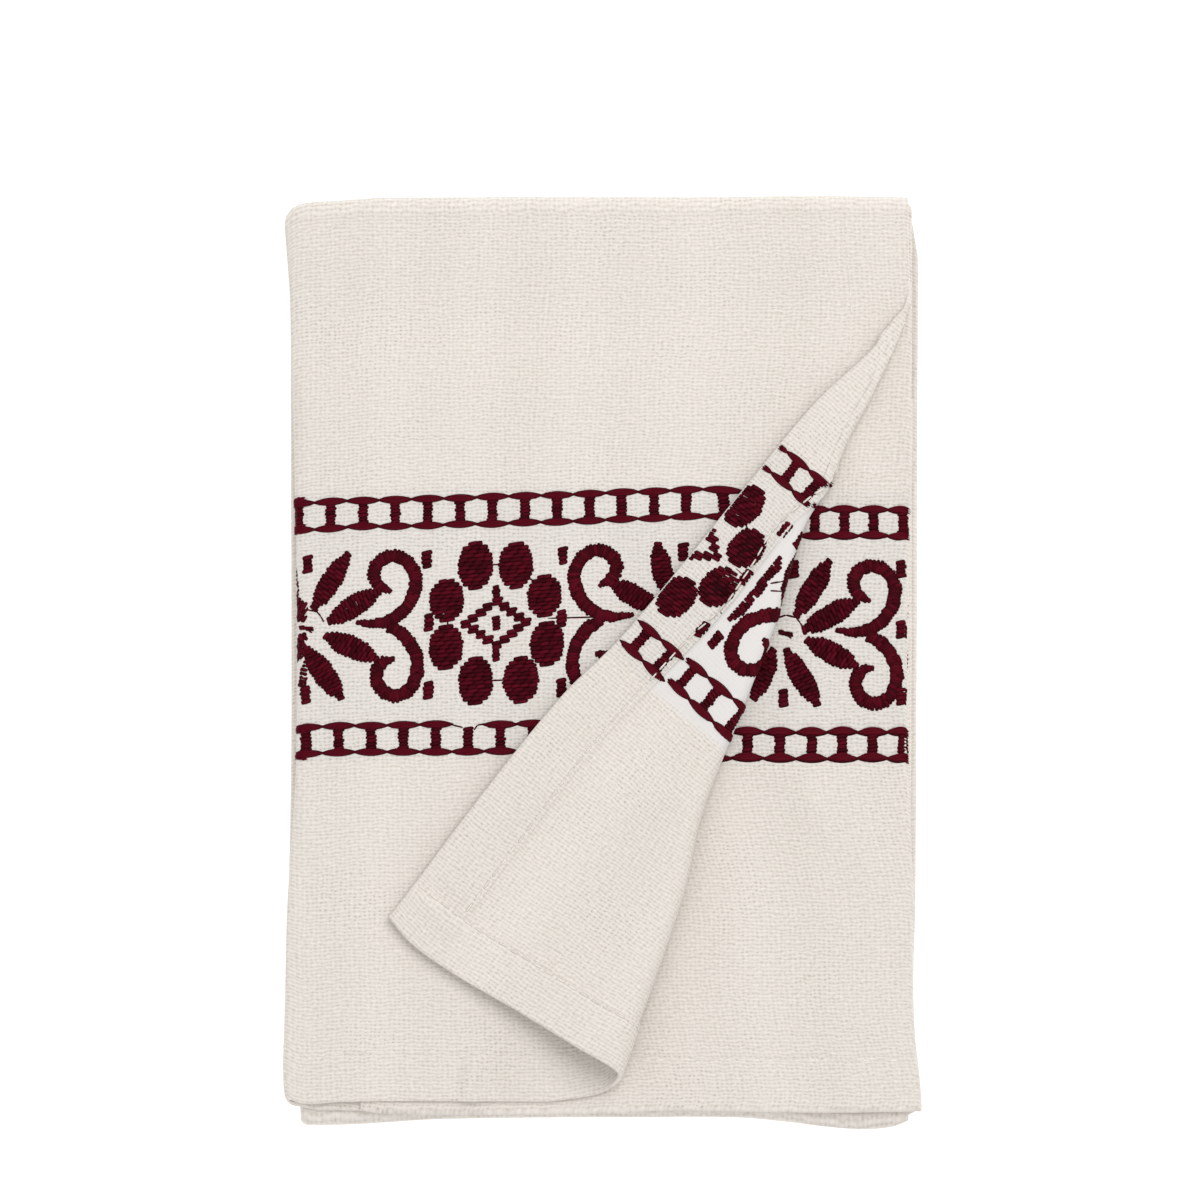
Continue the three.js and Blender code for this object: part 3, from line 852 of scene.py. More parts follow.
def flower(at, leaves, dots, dots_beside):
    """A flower of bare cloth with its leaves, and with scrolls and dots on both sides of it."""
    for a0, b0, a1, b1, width in zip(*leaves.values()):
        fill_leaf((at + a0, b0), (at + a1, b1), width)
    for mirror in (1, -1):
        fill_scroll(UPPER_SCROLL, at, mirror)
        fill_scroll(LOWER_SCROLL, at, mirror)
        for a, b in dots_beside:
            fill_upright(at + mirror * a, b, *DOT_SIZE, block)
    for a, b in dots:
        fill_upright(at + a, b, *DOT_SIZE, block)
    satin(*([(at + a, b) for a, b in FLOWER_DASH[end]] for end in ("start", "end")))
    a0, b0, a1, b1 = FLOWER_TAIL
    stitch(at + a0, b0, at + a1, b1, *THIN_THREAD)
    for (a0, b0), (a1, b1) in zip(FLOWER_RIM[:-1], FLOWER_RIM[1:]):
        stitch(at + a0, b0, at + a1, b1, *THIN_THREAD)


def wreath(at):
    """Eight ovals round a diamond."""
    for a, b, width, height in zip(*OVALS.values()):
        fill_upright(at + a, b, width, height, oval)
    middle_a, middle_b = at + DIAMOND["a"], DIAMOND["b"]
    for i in range(DIAMOND["blocks"]):
        t = i / (DIAMOND["blocks"] - 1)
        for mirror_a in (1, -1):
            for mirror_b in (1, -1):
                if (t == 0 and mirror_b < 0) or (t == 1 and mirror_a < 0):
                    continue
                a = middle_a + mirror_a * lerp(DIAMOND["half_width"], 0.3, t)
                b = middle_b + mirror_b * lerp(0, DIAMOND["half_height"], t)
                fill_upright(a, b, *DIAMOND_BLOCK, block)
    for mirror in (1, -1):
        b = middle_b + mirror * (DIAMOND["half_height"] + DIAMOND_BAR[1] / 2)
        fill_upright(middle_a, b, *DIAMOND_BAR, block)
    fill_upright(middle_a, middle_b, *DIAMOND_HEART, block)
    for a0, b0, a1, b1 in WREATH_TIES:
        stitch(at + a0, b0, at + a1, b1, *THIN_THREAD)


def ladder(middle, bars, worn=None):
    """Two rails of lens-shaped stitches, one for each toothed bar. One stitch of the bar worn is loose."""
    bars = sorted(bars)
    for i, at in enumerate(bars):
        before = at - bars[i - 1] if i > 0 else bars[1] - bars[0]
        after = bars[i + 1] - at if i + 1 < len(bars) else before
        first, last = at - before / 2 - RAIL_LAP, at + after / 2 + RAIL_LAP
        for rail in (-1, 1):
            b = middle + rail * RAIL_FROM_LADDER + rng.uniform(-0.12, 0.12)
            if i == worn and rail > 0:
                stitch(first, b, at - 1.4, b - 0.9, *THIN_THREAD)
                stitch(at + 1.6, b - 1.6, at + 2.6, b - 0.3, *THIN_THREAD)
                stitch(at + 2.6, b - 0.3, last, b + 0.1, *THIN_THREAD)
                continue
            lean = rng.uniform(-0.15, 0.15)
            rails.append((first, b, last, b, *RAIL_SIZE, rng.uniform(*RAIL_SHEEN_TONES)))
            for beside in STRANDS_BESIDE:
                inset = STRAND_INSET + abs(beside)
                ends = (first + inset, b + beside - lean, last - inset, b + beside + lean)
                rails.append((*ends, *STRAND_SIZE, rng.uniform(*STRAND_SHEEN_TONES)))
        fill_upright(at, middle, BAR_WIDTH, BAR_HEIGHT, block)


def clipped(rows, first, last):
    """The stitches between two places. Those that cross one of them are cut short there."""
    kept = []
    for row in rows:
        a0, b0, a1, b1, width, *rest = row
        low, high = min(a0, a1), max(a0, a1)
        if high < first or low > last:
            continue
        if low >= first and high <= last:
            kept.append(row)
            continue
        crossings = sorted([(first - a0) / (a1 - a0), (last - a0) / (a1 - a0)])
        t0, t1 = max(crossings[0], 0), min(crossings[1], 1)
        if math.hypot(a1 - a0, b1 - b0) * (t1 - t0) > SHORTEST_STITCH:
            ends = (lerp(a0, a1, t0), lerp(b0, b1, t0), lerp(a0, a1, t1), lerp(b0, b1, t1))
            kept.append((*ends, width * min(1, 2 * (t1 - t0)), *rest))
    return np.array(kept)


def band_stitches(
    flowers, motif, wreaths, bars, first, last, motifs_last=None, worn=None, raised=0.0, ties=()
):
    """The band's stitches between two places, by the shape that they are made with.

    bars gives the upper and the lower ladder's bars, raised how much higher both ladders lie, and worn the
    bar of the lower one with a loose stitch. The motifs between the ladders can end sooner.
    """
    for rows in (stitches, underlay, rails):
        rows.clear()
    for at in flowers:
        flower(at, *motif)
    for at in wreaths:
        wreath(at)
    for rows in (stitches, underlay):
        rows[:] = clipped(rows, first, last if motifs_last is None else motifs_last).tolist()
    ladder(LADDERS[0] + raised, bars[0])
    ladder(LADDERS[1] + raised, bars[1], worn)
    for tie in ties:
        stitch(*tie, *THIN_THREAD)
    return {
        "threads": clipped(stitches, first, last),
        "underlay": clipped(underlay, first, last),
        "rails": clipped(rails, first, last),
    }


# Where the band lies on the top third. Left of the roll the cloth is drawn to the left, and up.
DRAWN_EDGE = 76.0  # where the free edge would be if the flat cloth ran on past the roll
DRAWN_UP = 3.4
DRAWN_FADE = (24, 3)  # from the roll's left side, where the pull ends and where it is whole
DRAWN_START = -84.0  # x at which the lift begins
DRAWN_WIDTH = 122.0
DRAWN_GROWTH = 1.6
DRAWN_ROWS = (88, 128)  # v
# On the flap the band lies square to the free edge.
FLAP_DRAWN = 1.85
FLAP_SPAN = 12.0  # of the flap's cloth, from the free edge, on which its slant is measured


def flat_places(u, v):
    """The flat layer's places for the band's u and v, before the corner is turned back."""
    x = TOP_THIRD_EDGE - u
    y = top_y(x, v)
    along = (PIVOT[1] - y) * math.cos(CREASE_TURN) + (PIVOT[0] - x) * math.sin(CREASE_TURN)
    beyond = (x - PIVOT[0]) * math.cos(CREASE_TURN) - (y - PIVOT[1]) * math.sin(CREASE_TURN)
    tangent = math.pi / 2 * (ROLL_RADIUS + ROLL_GROWTH * np.maximum(along, 0))
    share = 1 - smoothstep(beyond, -tangent - DRAWN_FADE[0], -tangent - DRAWN_FADE[1])
    aim_x = DRAWN_EDGE - u
    across = np.clip((aim_x - DRAWN_START) / DRAWN_WIDTH, 0, 1.1)
    aim_y = y + DRAWN_UP * across**DRAWN_GROWTH * smoothstep(v, *DRAWN_ROWS)
    near_x, near_y = aim_x, aim_y
    for _ in range(5):
        got = turned_back(near_x, near_y)
        near_x = near_x + np.where(share > 0, aim_x - got[:, 0], 0)
        near_y = near_y + np.where(share > 0, aim_y - got[:, 1], 0)
    return lerp(x, near_x, share), lerp(y, near_y, share)


def on_top_third(u, v, offset):
    """Points over the right side of the top third and its left fold."""
    half = half_thickness(u, v, 1, top_hem(v))
    height = half + offset
    x, y = flat_places(u, v)
    hem_y = front_hem(x, TOP_H)
    share = (y - hem_y) / (far_end(x) - hem_y)
    left_start, _ = side_folds("front", y)
    flat = on_top_layer(np.maximum(x, left_start), y, height)
    turn = np.maximum(left_start - x, 0) / LAYER_PITCH
    reach = LAYER_PITCH + height
    fold_x = left_start - reach * np.sin(turn)
    fold_h = TOP_H / 2 + reach * np.cos(turn)
    folded = in_packet("front", share, fold_x, fold_h)
    return np.where((turn > 0)[:, None], folded, flat)


def flap_plan(u, v):
    """Where the top third's u and v lie once the corner is turned back, seen from above."""
    x = TOP_THIRD_EDGE - u
    return turned_back(x, top_y(x, v))[:, :2]


def on_flap(u, v, offset):
    """Points over the wrong side of the flap, at u squarely in from its free edge."""
    v = v + FLAP_DRAWN
    edge = np.zeros(len(v))
    across = (flap_plan(edge + FLAP_SPAN, v) - flap_plan(edge, v)) / FLAP_SPAN
    along = (flap_plan(edge, v + 1) - flap_plan(edge, v - 1)) / 2
    length = np.linalg.norm(along, axis=-1)
    slide = (across * along).sum(axis=-1) / length
    spread = np.sqrt((across**2).sum(axis=-1) - slide**2)
    own_u = u / spread
    own_v = v - slide * own_u / length
    half = half_thickness(own_u, own_v, -1, top_hem(own_v))
    x = TOP_THIRD_EDGE - own_u
    return on_top_layer(x, top_y(x, own_v), -(half + offset))


def on_middle_third(x, v, offset):
    """Points of the middle third's right side and its right fold."""
    share = v / FRONT_LENGTH
    y = lerp(front_hem(x, LAYER_PITCH), far_end(x), share)
    _, right_start = side_folds("front", y)
    radius = LAYER_PITCH / 2
    turn = np.maximum(x - right_start, 0) / radius
    reach = radius + THICKNESS / 2 + offset
    flat_h = LAYER_PITCH + THICKNESS / 2 + offset
    fold_x = right_start + reach * np.sin(turn)
    fold_h = radius + reach * np.cos(turn)
    folded = turn > 0
    return in_packet("front", share, np.where(folded, fold_x, x), np.where(folded, fold_h, flat_h))


def linear(colour):
    """Linear red, green, blue and alpha of an sRGB hex colour."""
    channels = [int(colour[i : i + 2], 16) / 255 for i in (1, 3, 5)]
    return (*[c / 12.92 if c <= 0.04045 else ((c + 0.055) / 1.055) ** 2.4 for c in channels], 1.0)


def add(tree, kind, inputs=None, **settings):
    """Adds a node with its settings. inputs gives values or sockets, by an input's name or number."""
    node = tree.nodes.new(kind)
    for name, value in settings.items():
        setattr(node, name, value)
    for key, value in (inputs or {}).items():
        if isinstance(value, bpy.types.NodeSocket):
            tree.links.new(value, node.inputs[key])
        else:
            node.inputs[key].default_value = value
    return node


def math_node(tree, operation, *values):
    return add(tree, "ShaderNodeMath", dict(enumerate(values)), operation=operation).outputs[0]


def new_material(name):
    material = bpy.data.materials.new(name)
    material.use_nodes = True
    tree = material.node_tree
    return material, tree, tree.nodes["Principled BSDF"]


def woven_linen():
    """Plain-woven linen and cotton: matt, with uneven weft rows, small beads and pinholes."""
    material, tree, shader = new_material("woven_linen")
    uv = add(tree, "ShaderNodeUVMap", uv_map="cloth").outputs[0]

    def noise(across, along, detail, output="Fac"):
        """Noise with so many spots to the metre across and along the cloth."""
        spots = add(tree, "ShaderNodeVectorMath", {0: uv, 1: (across, along, 1.0)}, operation="MULTIPLY")
        made = add(tree, "ShaderNodeTexNoise", {"Vector": spots.outputs[0], "Scale": 1.0, "Detail": detail})
        return made.outputs[output]

    def shifted(place, colour, distance):
        """Moves a place by a noise's colour, up to half the distance each way."""
        centred = add(tree, "ShaderNodeVectorMath", {0: colour, 1: (0.5, 0.5, 0.5)}, operation="SUBTRACT")
        scaled = {0: centred.outputs[0], "Scale": distance}
        way = add(tree, "ShaderNodeVectorMath", scaled, operation="SCALE")
        return add(tree, "ShaderNodeVectorMath", {0: place, 1: way.outputs[0]}, operation="ADD").outputs[0]

    def blend(*shares):
        """The sum of some sockets, each times its share."""
        total = 0.0
        for socket, share in shares:
            total = math_node(tree, "MULTIPLY_ADD", socket, share, total)
        return total

    def span(value, low, high):
        return add(tree, "ShaderNodeMapRange", {0: value, 1: low, 2: high}).outputs[0]

    def mixed(share, one, other, **settings):
        inputs = {0: share, 6: one, 7: other}
        return add(tree, "ShaderNodeMix", inputs, data_type="RGBA", **settings).outputs[2]

    # Threads that wander slowly, and a little from bead to bead
    place = shifted(uv, noise(60, 60, 2.0, "Color"), 1.6 * MM)
    place = shifted(place, noise(480, 480, 0.0, "Color"), 0.9 * MM)
    axes = add(tree, "ShaderNodeSeparateXYZ", {0: place})
    warp_pitch, weft_pitch = 1.31 * MM, 1.034 * MM
    warp = math_node(tree, "COSINE", math_node(tree, "MULTIPLY", axes.outputs[0], math.pi / warp_pitch))
    weft = math_node(tree, "COSINE", math_node(tree, "MULTIPLY", axes.outputs[1], math.pi / weft_pitch))
    over = math_node(tree, "MULTIPLY", warp, weft)
    warp_round, weft_round = math_node(tree, "ABSOLUTE", warp), math_node(tree, "ABSOLUTE", weft)
    weft_height = math_node(tree, "MULTIPLY", weft_round, math_node(tree, "MULTIPLY_ADD", over, 0.25, 0.75))
    warp_height = math_node(tree, "MULTIPLY", warp_round, math_node(tree, "MULTIPLY_ADD", over, -0.4, 0.5))
    height = math_node(tree, "MAXIMUM", weft_height, warp_height)
    # Thick and thin stretches of weft and warp, single beads, and soft streaks along the warp
    bead = noise(1000, 1060, 0.0)
    slub, thin_warp, streak = noise(110, 1000, 2.0), noise(900, 60, 1.0), noise(58, 3, 0.0)
    # The weave's height goes into the colour too: painted shade between the threads and painted light on
    # their tops
    level = blend((height, 0.42), (slub, 0.11), (thin_warp, 0.1), (bead, 0.34), (streak, 0.14))
    tone = add(tree, "ShaderNodeValToRGB", {0: level})
    ramp = tone.color_ramp
    ramp.elements[0].position, ramp.elements[0].color = 0.28, linear("#BFB8AF")
    ramp.elements[1].position, ramp.elements[1].color = 0.84, linear("#E4DDD6")
    middle = ramp.elements.new(0.56)
    middle.color = linear("#D6CFC7")
    # Pinholes in the corners between threads, in patches and more of them in the band: real openings, painted
    # dark as shade
    banded = add(tree, "ShaderNodeAttribute", attribute_name="banded").outputs["Fac"]
    backing = add(tree, "ShaderNodeAttribute", attribute_name="backing").outputs["Fac"]
    beside_warp = math_node(tree, "SUBTRACT", 1.0, warp_round)
    beside_weft = math_node(tree, "SUBTRACT", 1.0, weft_round)
    corner = math_node(tree, "MULTIPLY", beside_warp, beside_weft)
    in_band = math_node(tree, "MULTIPLY", banded, 0.7)
    patches = math_node(tree, "MAXIMUM", span(noise(45, 45, 2.0), 0.5, 0.64), in_band)
    open_corner = math_node(tree, "MULTIPLY", span(corner, 0.42, 0.8), patches)
    pinhole = math_node(tree, "MULTIPLY", open_corner, span(bead, 0.6, 0.4))
    band_tint = (0.955, 0.972, 0.985, 1.0)
    tinted = mixed(banded, tone.outputs[0], band_tint, blend_type="MULTIPLY")
    pinholes_painted_shade = mixed(math_node(tree, "MULTIPLY", pinhole, 0.6), tinted, linear("#857D74"))
    bleached = mixed(math_node(tree, "MULTIPLY", backing, 0.85), pinholes_painted_shade, linear("#D8D5D3"))
    tree.links.new(bleached, shader.inputs["Base Color"])
    shader.inputs["Roughness"].default_value = 0.92
    shader.inputs["Specular IOR Level"].default_value = 0.2
    shader.inputs["Sheen Weight"].default_value = 0.1
    shader.inputs["Sheen Roughness"].default_value = 0.6
    relief = math_node(tree, "MULTIPLY", level, math_node(tree, "MULTIPLY_ADD", backing, -0.65, 1.0))
    bump = add(tree, "ShaderNodeBump", {"Height": relief, "Distance": 0.35 * MM, "Strength": 0.7})
    tree.links.new(bump.outputs[0], shader.inputs["Normal"])
    return material


def cotton_thread(name, dark, light, roughness, gloss):
    """Twisted cotton thread of fine strands, each stitch a little different: painted shade makes it darker at
    its ends and sides and in the grooves of its twist, and painted light brightens its crown.
    """
    material, tree, shader = new_material(name)
    tone = add(tree, "ShaderNodeAttribute", attribute_name="tone").outputs["Fac"]
    uv = add(tree, "ShaderNodeUVMap", uv_map="thread").outputs[0]
    axes = add(tree, "ShaderNodeSeparateXYZ", {0: uv})
    along, across = axes.outputs[0], axes.outputs[1]
    turns = math_node(tree, "MULTIPLY_ADD", across, 40.0, math_node(tree, "MULTIPLY", along, 9.0))
    strands = math_node(tree, "SINE", turns)

    def inside(value, power):
        """1 half way along a 0 to 1 value, and 0 at both its ends."""
        from_middle = math_node(tree, "ABSOLUTE", math_node(tree, "MULTIPLY_ADD", value, 2.0, -1.0))
        return math_node(tree, "SUBTRACT", 1.0, math_node(tree, "POWER", from_middle, power))

    # Painted light on each thread's crown, and painted shade towards its ends and sides
    painted_crown_light = math_node(tree, "MULTIPLY", inside(along, 3.0), inside(across, 2.0))
    lit = math_node(tree, "MULTIPLY", tone, math_node(tree, "MULTIPLY_ADD", painted_crown_light, 1.0, 0.25))
    shade = math_node(tree, "MULTIPLY_ADD", strands, 0.08, lit)
    mix = add(tree, "ShaderNodeMix", {0: shade, 6: linear(dark), 7: linear(light)}, data_type="RGBA")
    tree.links.new(mix.outputs[2], shader.inputs["Base Color"])
    shader.inputs["Roughness"].default_value = roughness
    shader.inputs["Specular IOR Level"].default_value = gloss
    bump = add(tree, "ShaderNodeBump", {"Height": strands, "Distance": 0.08 * MM, "Strength": 0.5})
    tree.links.new(bump.outputs[0], shader.inputs["Normal"])
    return material


def thread_shape(name, profile):
    """A thread one millimetre long, wide and high: an arched body of a few dozen faces."""
    ring = [(-0.5, 0.0), (-0.34, 0.68), (0.0, 1.0), (0.34, 0.68), (0.5, 0.0)]
    vertices, coordinates = [], []
    for x, wide, high in profile:
        for k, (y, z) in enumerate(ring):
            vertices.append((x, y * wide, z * high))
            coordinates.append((x + 0.5, k / (len(ring) - 1)))
    size = len(ring)
    faces = []
    for j in range(len(profile) - 1):
        for k in range(size):
            a, b = j * size + k, j * size + (k + 1) % size
            faces.append((a, a + size, b + size, b))
    faces.append(tuple(range(size)))
    faces.append(tuple(reversed(range((len(profile) - 1) * size, len(profile) * size))))
    mesh = bpy.data.meshes.new(name)
    mesh.from_pydata(vertices, [], faces)
    mesh.polygons.foreach_set("use_smooth", [True] * len(mesh.polygons))
    layer = mesh.uv_layers.new(name="thread")
    for loop in mesh.loops:
        layer.data[loop.index].uv = coordinates[loop.vertex_index]
    mesh.update()
    return bpy.data.objects.new(name, mesh)


def stitching_tree():
    """Lays a thread on every point, turned and sized by the point's attributes."""
    tree = bpy.data.node_groups.new("stitching", "GeometryNodeTree")
    face = tree.interface
    face.new_socket("Geometry", in_out="INPUT", socket_type="NodeSocketGeometry")
    face.new_socket("Thread", in_out="INPUT", socket_type="NodeSocketObject")
    face.new_socket("Finish", in_out="INPUT", socket_type="NodeSocketMaterial")
    face.new_socket("Geometry", in_out="OUTPUT", socket_type="NodeSocketGeometry")
    entry = add(tree, "NodeGroupInput")
    thread = add(tree, "GeometryNodeObjectInfo", {"Object": entry.outputs["Thread"]})
    turn = add(tree, "GeometryNodeInputNamedAttribute", {"Name": "turn"}, data_type="FLOAT")
    size = add(tree, "GeometryNodeInputNamedAttribute", {"Name": "size"}, data_type="FLOAT_VECTOR")
    rotation = add(tree, "ShaderNodeCombineXYZ", {2: turn.outputs[0]})
    laid = add(
        tree,
        "GeometryNodeInstanceOnPoints",
        {
            "Points": entry.outputs["Geometry"],
            "Instance": thread.outputs["Geometry"],
            "Rotation": rotation.outputs[0],
            "Scale": size.outputs[0],
        },
    )
    real = add(tree, "GeometryNodeRealizeInstances", {"Geometry": laid.outputs[0]})
    look = {"Geometry": real.outputs[0], "Material": entry.outputs["Finish"]}
    finished = add(tree, "GeometryNodeSetMaterial", look)
    out = add(tree, "NodeGroupOutput")
    tree.links.new(finished.outputs[0], out.inputs[0])
    return tree


def laid_stitches(name, rows, shape, material):
    """A plain mesh of stitches on the flat cloth, in millimetres.

    A row holds a stitch's two ends, its width, height and tone.
    """
    ends = rows[:, 2:4] - rows[:, 0:2]
    middles = (rows[:, 0:2] + rows[:, 2:4]) / 2
    turns = np.arctan2(ends[:, 1], ends[:, 0])
    sizes = np.column_stack([np.hypot(ends[:, 0], ends[:, 1]), rows[:, 4], rows[:, 5]])
    tones = np.ascontiguousarray(rows[:, 6])
    mesh = bpy.data.meshes.new(name)
    mesh.from_pydata(np.column_stack([middles, np.zeros(len(rows))]).tolist(), [], [])
    mesh.attributes.new("turn", "FLOAT", "POINT").data.foreach_set("value", turns)
    mesh.attributes.new("size", "FLOAT_VECTOR", "POINT").data.foreach_set("vector", sizes.ravel())
    mesh.attributes.new("tone", "FLOAT", "POINT").data.foreach_set("value", tones)
    points = bpy.data.objects.new(name + ".points", mesh)
    bpy.context.scene.collection.objects.link(points)
    modifier = points.modifiers.new("stitching", "NODES")
    modifier.node_group = STITCHING
    sockets = STITCHING.interface.items_tree
    inputs = {item.name: item.identifier for item in sockets if item.in_out == "INPUT"}
    modifier[inputs["Thread"]] = shape
    modifier[inputs["Finish"]] = material
    seen = points.evaluated_get(bpy.context.evaluated_depsgraph_get())
    made = bpy.data.meshes.new_from_object(seen)
    bpy.data.objects.remove(points)
    made.name = name
    return made


def placed(name, parts, mirrored=False):
    """One finished object from flat meshes of stitches, each bent onto the cloth by its own place."""
    objects = []
    for mesh, place in parts:
        count = len(mesh.vertices)
        flat = np.empty(count * 3, np.float32)
        mesh.vertices.foreach_get("co", flat)
        flat = flat.reshape(-1, 3).astype(float)
        bent = place(flat[:, 0], flat[:, 1], flat[:, 2]) * MM
        mesh.vertices.foreach_set("co", bent.astype(np.float32).ravel())
        if mirrored:
            mesh.flip_normals()
        mesh.update()
        made = bpy.data.objects.new(name, mesh)
        bpy.context.scene.collection.objects.link(made)
        objects.append(made)
    if len(objects) > 1:
        with bpy.context.temp_override(active_object=objects[0], selected_editable_objects=objects):
            bpy.ops.object.join()
    objects[0].name = name
    return objects[0]


linen = woven_linen()
burgundy_cotton = cotton_thread("burgundy_cotton_thread", "#290308", "#590A1A", 0.5, 0.04)
undyed_cotton = cotton_thread("undyed_cotton_thread", "#D2CCC3", "#F2ECE4", 0.8, 0.1)
STITCHING = stitching_tree()
THREAD = thread_shape(
    "thread",
    [(-0.5, 0.45, 0.0), (-0.4, 0.92, 0.75), (0.0, 1.0, 1.0), (0.4, 0.92, 0.75), (0.5, 0.45, 0.0)],
)
RIBBON = thread_shape("ribbon", [(-0.5, 1.0, 1.0), (0.5, 1.0, 1.0)])
LENS_STEPS = np.linspace(-0.5, 0.5, 8)
LENS_ROUND = np.cos(math.pi * 0.93 * LENS_STEPS)
LENS = thread_shape("lens", list(zip(LENS_STEPS, LENS_ROUND**0.8, LENS_ROUND**0.6)))

cloth = cloth_object("towel_cloth", linen)


# How much higher the band lies on the flap's back, on the hem's strip and on the middle third
BACK_RAISE = 0.6
STRIP_RAISE = 0.4
MIDDLE_THIRD_RAISE = -1.1
MIDDLE_THIRD_SCALE = 0.98


def right_side(a, b, height):
    """The top third's right side. The band's a runs to the right, against u."""
    return on_top_third(-a, BAND_MIDDLE + b, height)


def flap_back(a, b, height):
    return on_flap(-a, BAND_MIDDLE + BACK_RAISE + b, height)


def hem_strip(a, b, height):
    """The hem's turned-over strip shows the cloth's right side, which runs on past the free edge."""
    return on_flap(a, BAND_MIDDLE + STRIP_RAISE + b, height)


def middle_side(a, b, height):
    return on_middle_third(a, BAND_MIDDLE + MIDDLE_THIRD_RAISE + b * MIDDLE_THIRD_SCALE, height)


def band_piece(name, rows, place, mirrored=False):
    """One object of a stretch of the band, from its threads, the underlay below them and the rails."""
    parts = []
    for kind, shape in (("threads", THREAD), ("underlay", RIBBON), ("rails", LENS)):
        parts.append((laid_stitches(f"{name}.{kind}", rows[kind], shape, burgundy_cotton), place))
    return placed(name, parts, mirrored)


TOP_FLOWERS = [-u for u in FLOWERS]
TOP_WREATHS = [-(u + REPEAT / 2) for u in FLOWERS]
BAR_PITCH = 8.9
FIRST_U = 0.5
LAST_U = 172.0
TOP_BARS = tuple([start + BAR_PITCH * k for k in range(-2, 22)] for start in (-159.7, -157.5))
WORN_BAR = 7
top_band = band_piece(
    "embroidery_top",
    band_stitches(TOP_FLOWERS, TOP_MOTIF, TOP_WREATHS, TOP_BARS, -LAST_U, -FIRST_U, worn=WORN_BAR),
    right_side,
)

# The flap's wrong side, and the strip of the hem that is turned over on it
BACK_FLOWERS_SHIFT = 0.5
BACK_WREATHS_SHIFT = -0.8
BACK_FIRST = 17.3
BACK_MOTIFS_FIRST = 18.9
BACK_LAST = 84.0
BACK_LOWER_PITCH = 8.7
BACK_BARS = (
    [-14.7 - BAR_PITCH * k for k in range(9)],
    [-12.2 - BACK_LOWER_PITCH * k for k in range(9)],
)
BACK_LADDERS_RAISE = 0.7
STRIP_FIRST = 0.2
STRIP_LAST = 17.2
STRIP_BARS = ([-1.4, 7.2, 14.9, 22.7], [-3.9, 4.6, 13.1, 21.6])
BACK_TIES = [(-21.8, 3.2, -24.0, 6.1), (-23.0, 1.7, -25.1, 3.4)]
wrong_band = band_piece(
    "embroidery_flap_back",
    band_stitches(
        [at + BACK_FLOWERS_SHIFT for at in TOP_FLOWERS],
        TOP_MOTIF,
        [at + BACK_WREATHS_SHIFT for at in TOP_WREATHS],
        BACK_BARS,
        -BACK_LAST,
        -BACK_FIRST,
        motifs_last=-BACK_MOTIFS_FIRST,
        raised=BACK_LADDERS_RAISE,
        ties=BACK_TIES,
    ),
    flap_back,
    mirrored=True,
)
strip_band = band_piece(
    "embroidery_hem_strip",
    band_stitches(TOP_FLOWERS, TOP_MOTIF, TOP_WREATHS, STRIP_BARS, STRIP_FIRST, STRIP_LAST),
    hem_strip,
)

MIDDLE_FLOWER = 50.8
MIDDLE_FIRST = 8.0
MIDDLE_LAST = 84.6
MIDDLE_BARS = (
    [90.8, 82.7, 74.6, 66.5, 58.5, 50.4, 42.3],
    [91.1, 82.7, 74.3, 66.0, 57.6, 48.8, 39.9, 31.0, 22.1],
)
MIDDLE_WREATHS = [MIDDLE_FLOWER - REPEAT / 2, MIDDLE_FLOWER + REPEAT / 2]
middle_band = band_piece(
    "embroidery_middle",
    band_stitches([MIDDLE_FLOWER], MIDDLE_MOTIF, MIDDLE_WREATHS, MIDDLE_BARS, MIDDLE_FIRST, MIDDLE_LAST),
    middle_side,
)

# Seams: a row of sunken lockstitches along each hem that shows
SEAM_PITCH = 3.8
SEAM_STITCH = (2.8, 0.6, 0.32)  # length, width and height
SEAM_SUNK_RIGHT = 0.14  # on the right side it is pulled into the weave
SEAM_OVER_BAND = 0.45
SEAM_TONES = (0.4, 0.9)
SEAM_RISE = 2.0  # along the seam, from the plain cloth up onto the band
END_SEAM = END_HEM - SEAM_INSET
SEAM_START = 0.8  # from the edge or the hem that a seam starts at
END_SEAM_LAST_U = 168.0
SIDE_SEAM_SHORT = 4.0  # of the far fold
MIDDLE_SEAM_X = (-20.0, 82.0)


def seam_rows(along_u, fixed, start, end):
    """The stitches of one seam. along_u says that it runs across the width."""
    rows = []
    for at in np.arange(start, end, SEAM_PITCH):
        wobble = rng.uniform(-0.08, 0.08, 2)
        one, other = (at, fixed + wobble[0]), (at + SEAM_STITCH[0], fixed + wobble[1])
        if not along_u:
            one, other = one[::-1], other[::-1]
        rows.append((*one, *other, *SEAM_STITCH[1:], rng.uniform(*SEAM_TONES)))
    return np.array(rows)


def seam_on_top(side, from_seam):
    """The place of a seam of the top third. from_seam says that u counts from the side hem's seam."""

    def place(u, v, height):
        hem = top_hem(v)
        own_u = u + read(TOP_HEM, "v", "seam", v) if from_seam else u
        in_band = plateau(v, BAND_START, BAND_START + SEAM_RISE, BAND_END - SEAM_RISE, BAND_END)
        raised = SEAM_OVER_BAND * in_band if side < 0 else -SEAM_SUNK_RIGHT
        half = half_thickness(own_u, v, side, hem) + raised
        x = TOP_THIRD_EDGE - own_u
        return on_top_layer(x, top_y(x, v), side * (half + height))

    return place


def seam_on_middle(x, v, height):
    half = half_thickness(np.full(len(x), math.inf), v, 1, SIDE_HEM) - SEAM_SUNK_RIGHT
    return in_packet("front", v / FRONT_LENGTH, x, LAYER_PITCH + half + height)


def seam_piece(name, seams, mirrored=False):
    """One object of undyed seams, each given by its mesh's name, its stitches and its place."""
    parts = []
    for title, rows, place in seams:
        parts.append((laid_stitches(title, rows, THREAD, undyed_cotton), place))
    return placed(name, parts, mirrored)


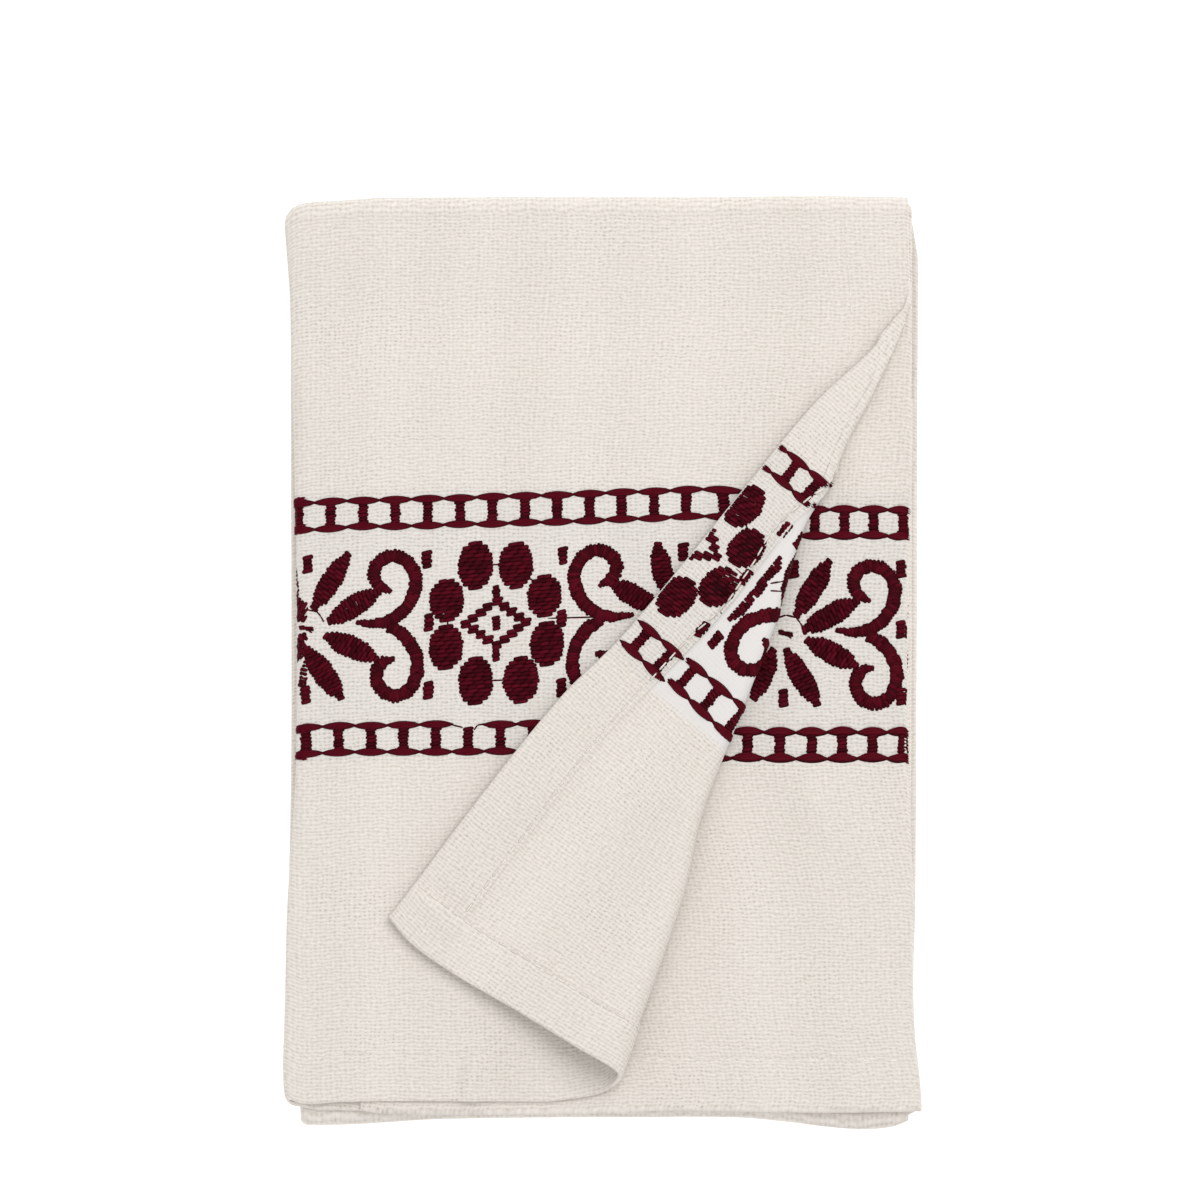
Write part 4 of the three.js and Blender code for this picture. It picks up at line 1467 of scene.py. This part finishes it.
end_rows = seam_rows(True, END_SEAM, SEAM_START, END_SEAM_LAST_U)
side_rows = seam_rows(False, 0.0, END_HEM + SEAM_START, FRONT_LENGTH - SIDE_SEAM_SHORT)
middle_rows = seam_rows(True, END_SEAM, *MIDDLE_SEAM_X)
seams_right = seam_piece(
    "seam_top_right_side",
    [
        ("seam.right.end", end_rows, seam_on_top(1, False)),
        ("seam.right.side", side_rows, seam_on_top(1, True)),
    ],
    mirrored=True,
)
seams_wrong = seam_piece(
    "seam_top_wrong_side",
    [
        ("seam.wrong.end", end_rows, seam_on_top(-1, False)),
        ("seam.wrong.side", side_rows, seam_on_top(-1, True)),
    ],
)
seams_middle = seam_piece("seam_middle", [("seam.middle", middle_rows, seam_on_middle)])

for shape in (THREAD, RIBBON, LENS):
    bpy.data.objects.remove(shape)

bands = [top_band, wrong_band, strip_band, middle_band]
hem_seams = [seams_right, seams_wrong, seams_middle]
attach(cloth, "root")
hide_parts("towel")
for piece in bands:
    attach(piece, "root")
for piece in hem_seams:
    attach(piece, "root")

# Floor, light and camera
floor_material, floor_tree, floor_shader = new_material("white_paper_floor")
grain = add(floor_tree, "ShaderNodeTexNoise", {"Scale": 40.0, "Detail": 2.0})
paper = add(
    floor_tree,
    "ShaderNodeMix",
    {0: grain.outputs[0], 6: linear("#FDFDFD"), 7: linear("#FFFFFF")},
    data_type="RGBA",
)
floor_tree.links.new(paper.outputs[2], floor_shader.inputs["Base Color"])
floor_shader.inputs["Roughness"].default_value = 0.9
floor_shader.inputs["Emission Color"].default_value = (1, 1, 1, 1)
floor_shader.inputs["Emission Strength"].default_value = 0.35
reach, drop = 3.0, -0.0002
floor = mesh_object(
    "floor",
    [(-reach, -reach, drop), (reach, -reach, drop), (reach, reach, drop), (-reach, reach, drop)],
    [(0, 1, 2, 3)],
    floor_material,
)

world = bpy.data.worlds.new("studio")
world.use_nodes = True
world.node_tree.nodes["Background"].inputs[0].default_value = (1, 1, 1, 1)
world.node_tree.nodes["Background"].inputs[1].default_value = 0.75
bpy.context.scene.world = world


def softbox(name, place, size, power):
    lamp = bpy.data.lights.new(name, "AREA")
    lamp.shape = "SQUARE"
    lamp.size = size
    lamp.energy = power
    made = bpy.data.objects.new(name, lamp)
    made.location = place
    bpy.context.scene.collection.objects.link(made)
    made.rotation_mode = "QUATERNION"
    made.rotation_quaternion = Vector(place).to_track_quat("Z", "Y")


softbox("key_softbox", (0.6, 0.9, 1.7), 1.2, 19)
softbox("fill_softbox", (-0.8, -0.6, 1.6), 1.4, 4)

camera_data = bpy.data.cameras.new("camera")
camera = bpy.data.objects.new("camera", camera_data)
camera_height = 2.6
photo_middle = (-0.7 * MM, 17.3 * MM)
towel_top = 13 * MM
camera.location = (*photo_middle, camera_height)
sensor_width = 36
camera_data.sensor_width = sensor_width
camera_data.lens = sensor_width * (camera_height - towel_top) / (PHOTO_SIDE * MM)
camera_data.clip_end = 20
bpy.context.scene.collection.objects.link(camera)
bpy.context.scene.camera = camera
bpy.context.scene.view_settings.view_transform = "Standard"
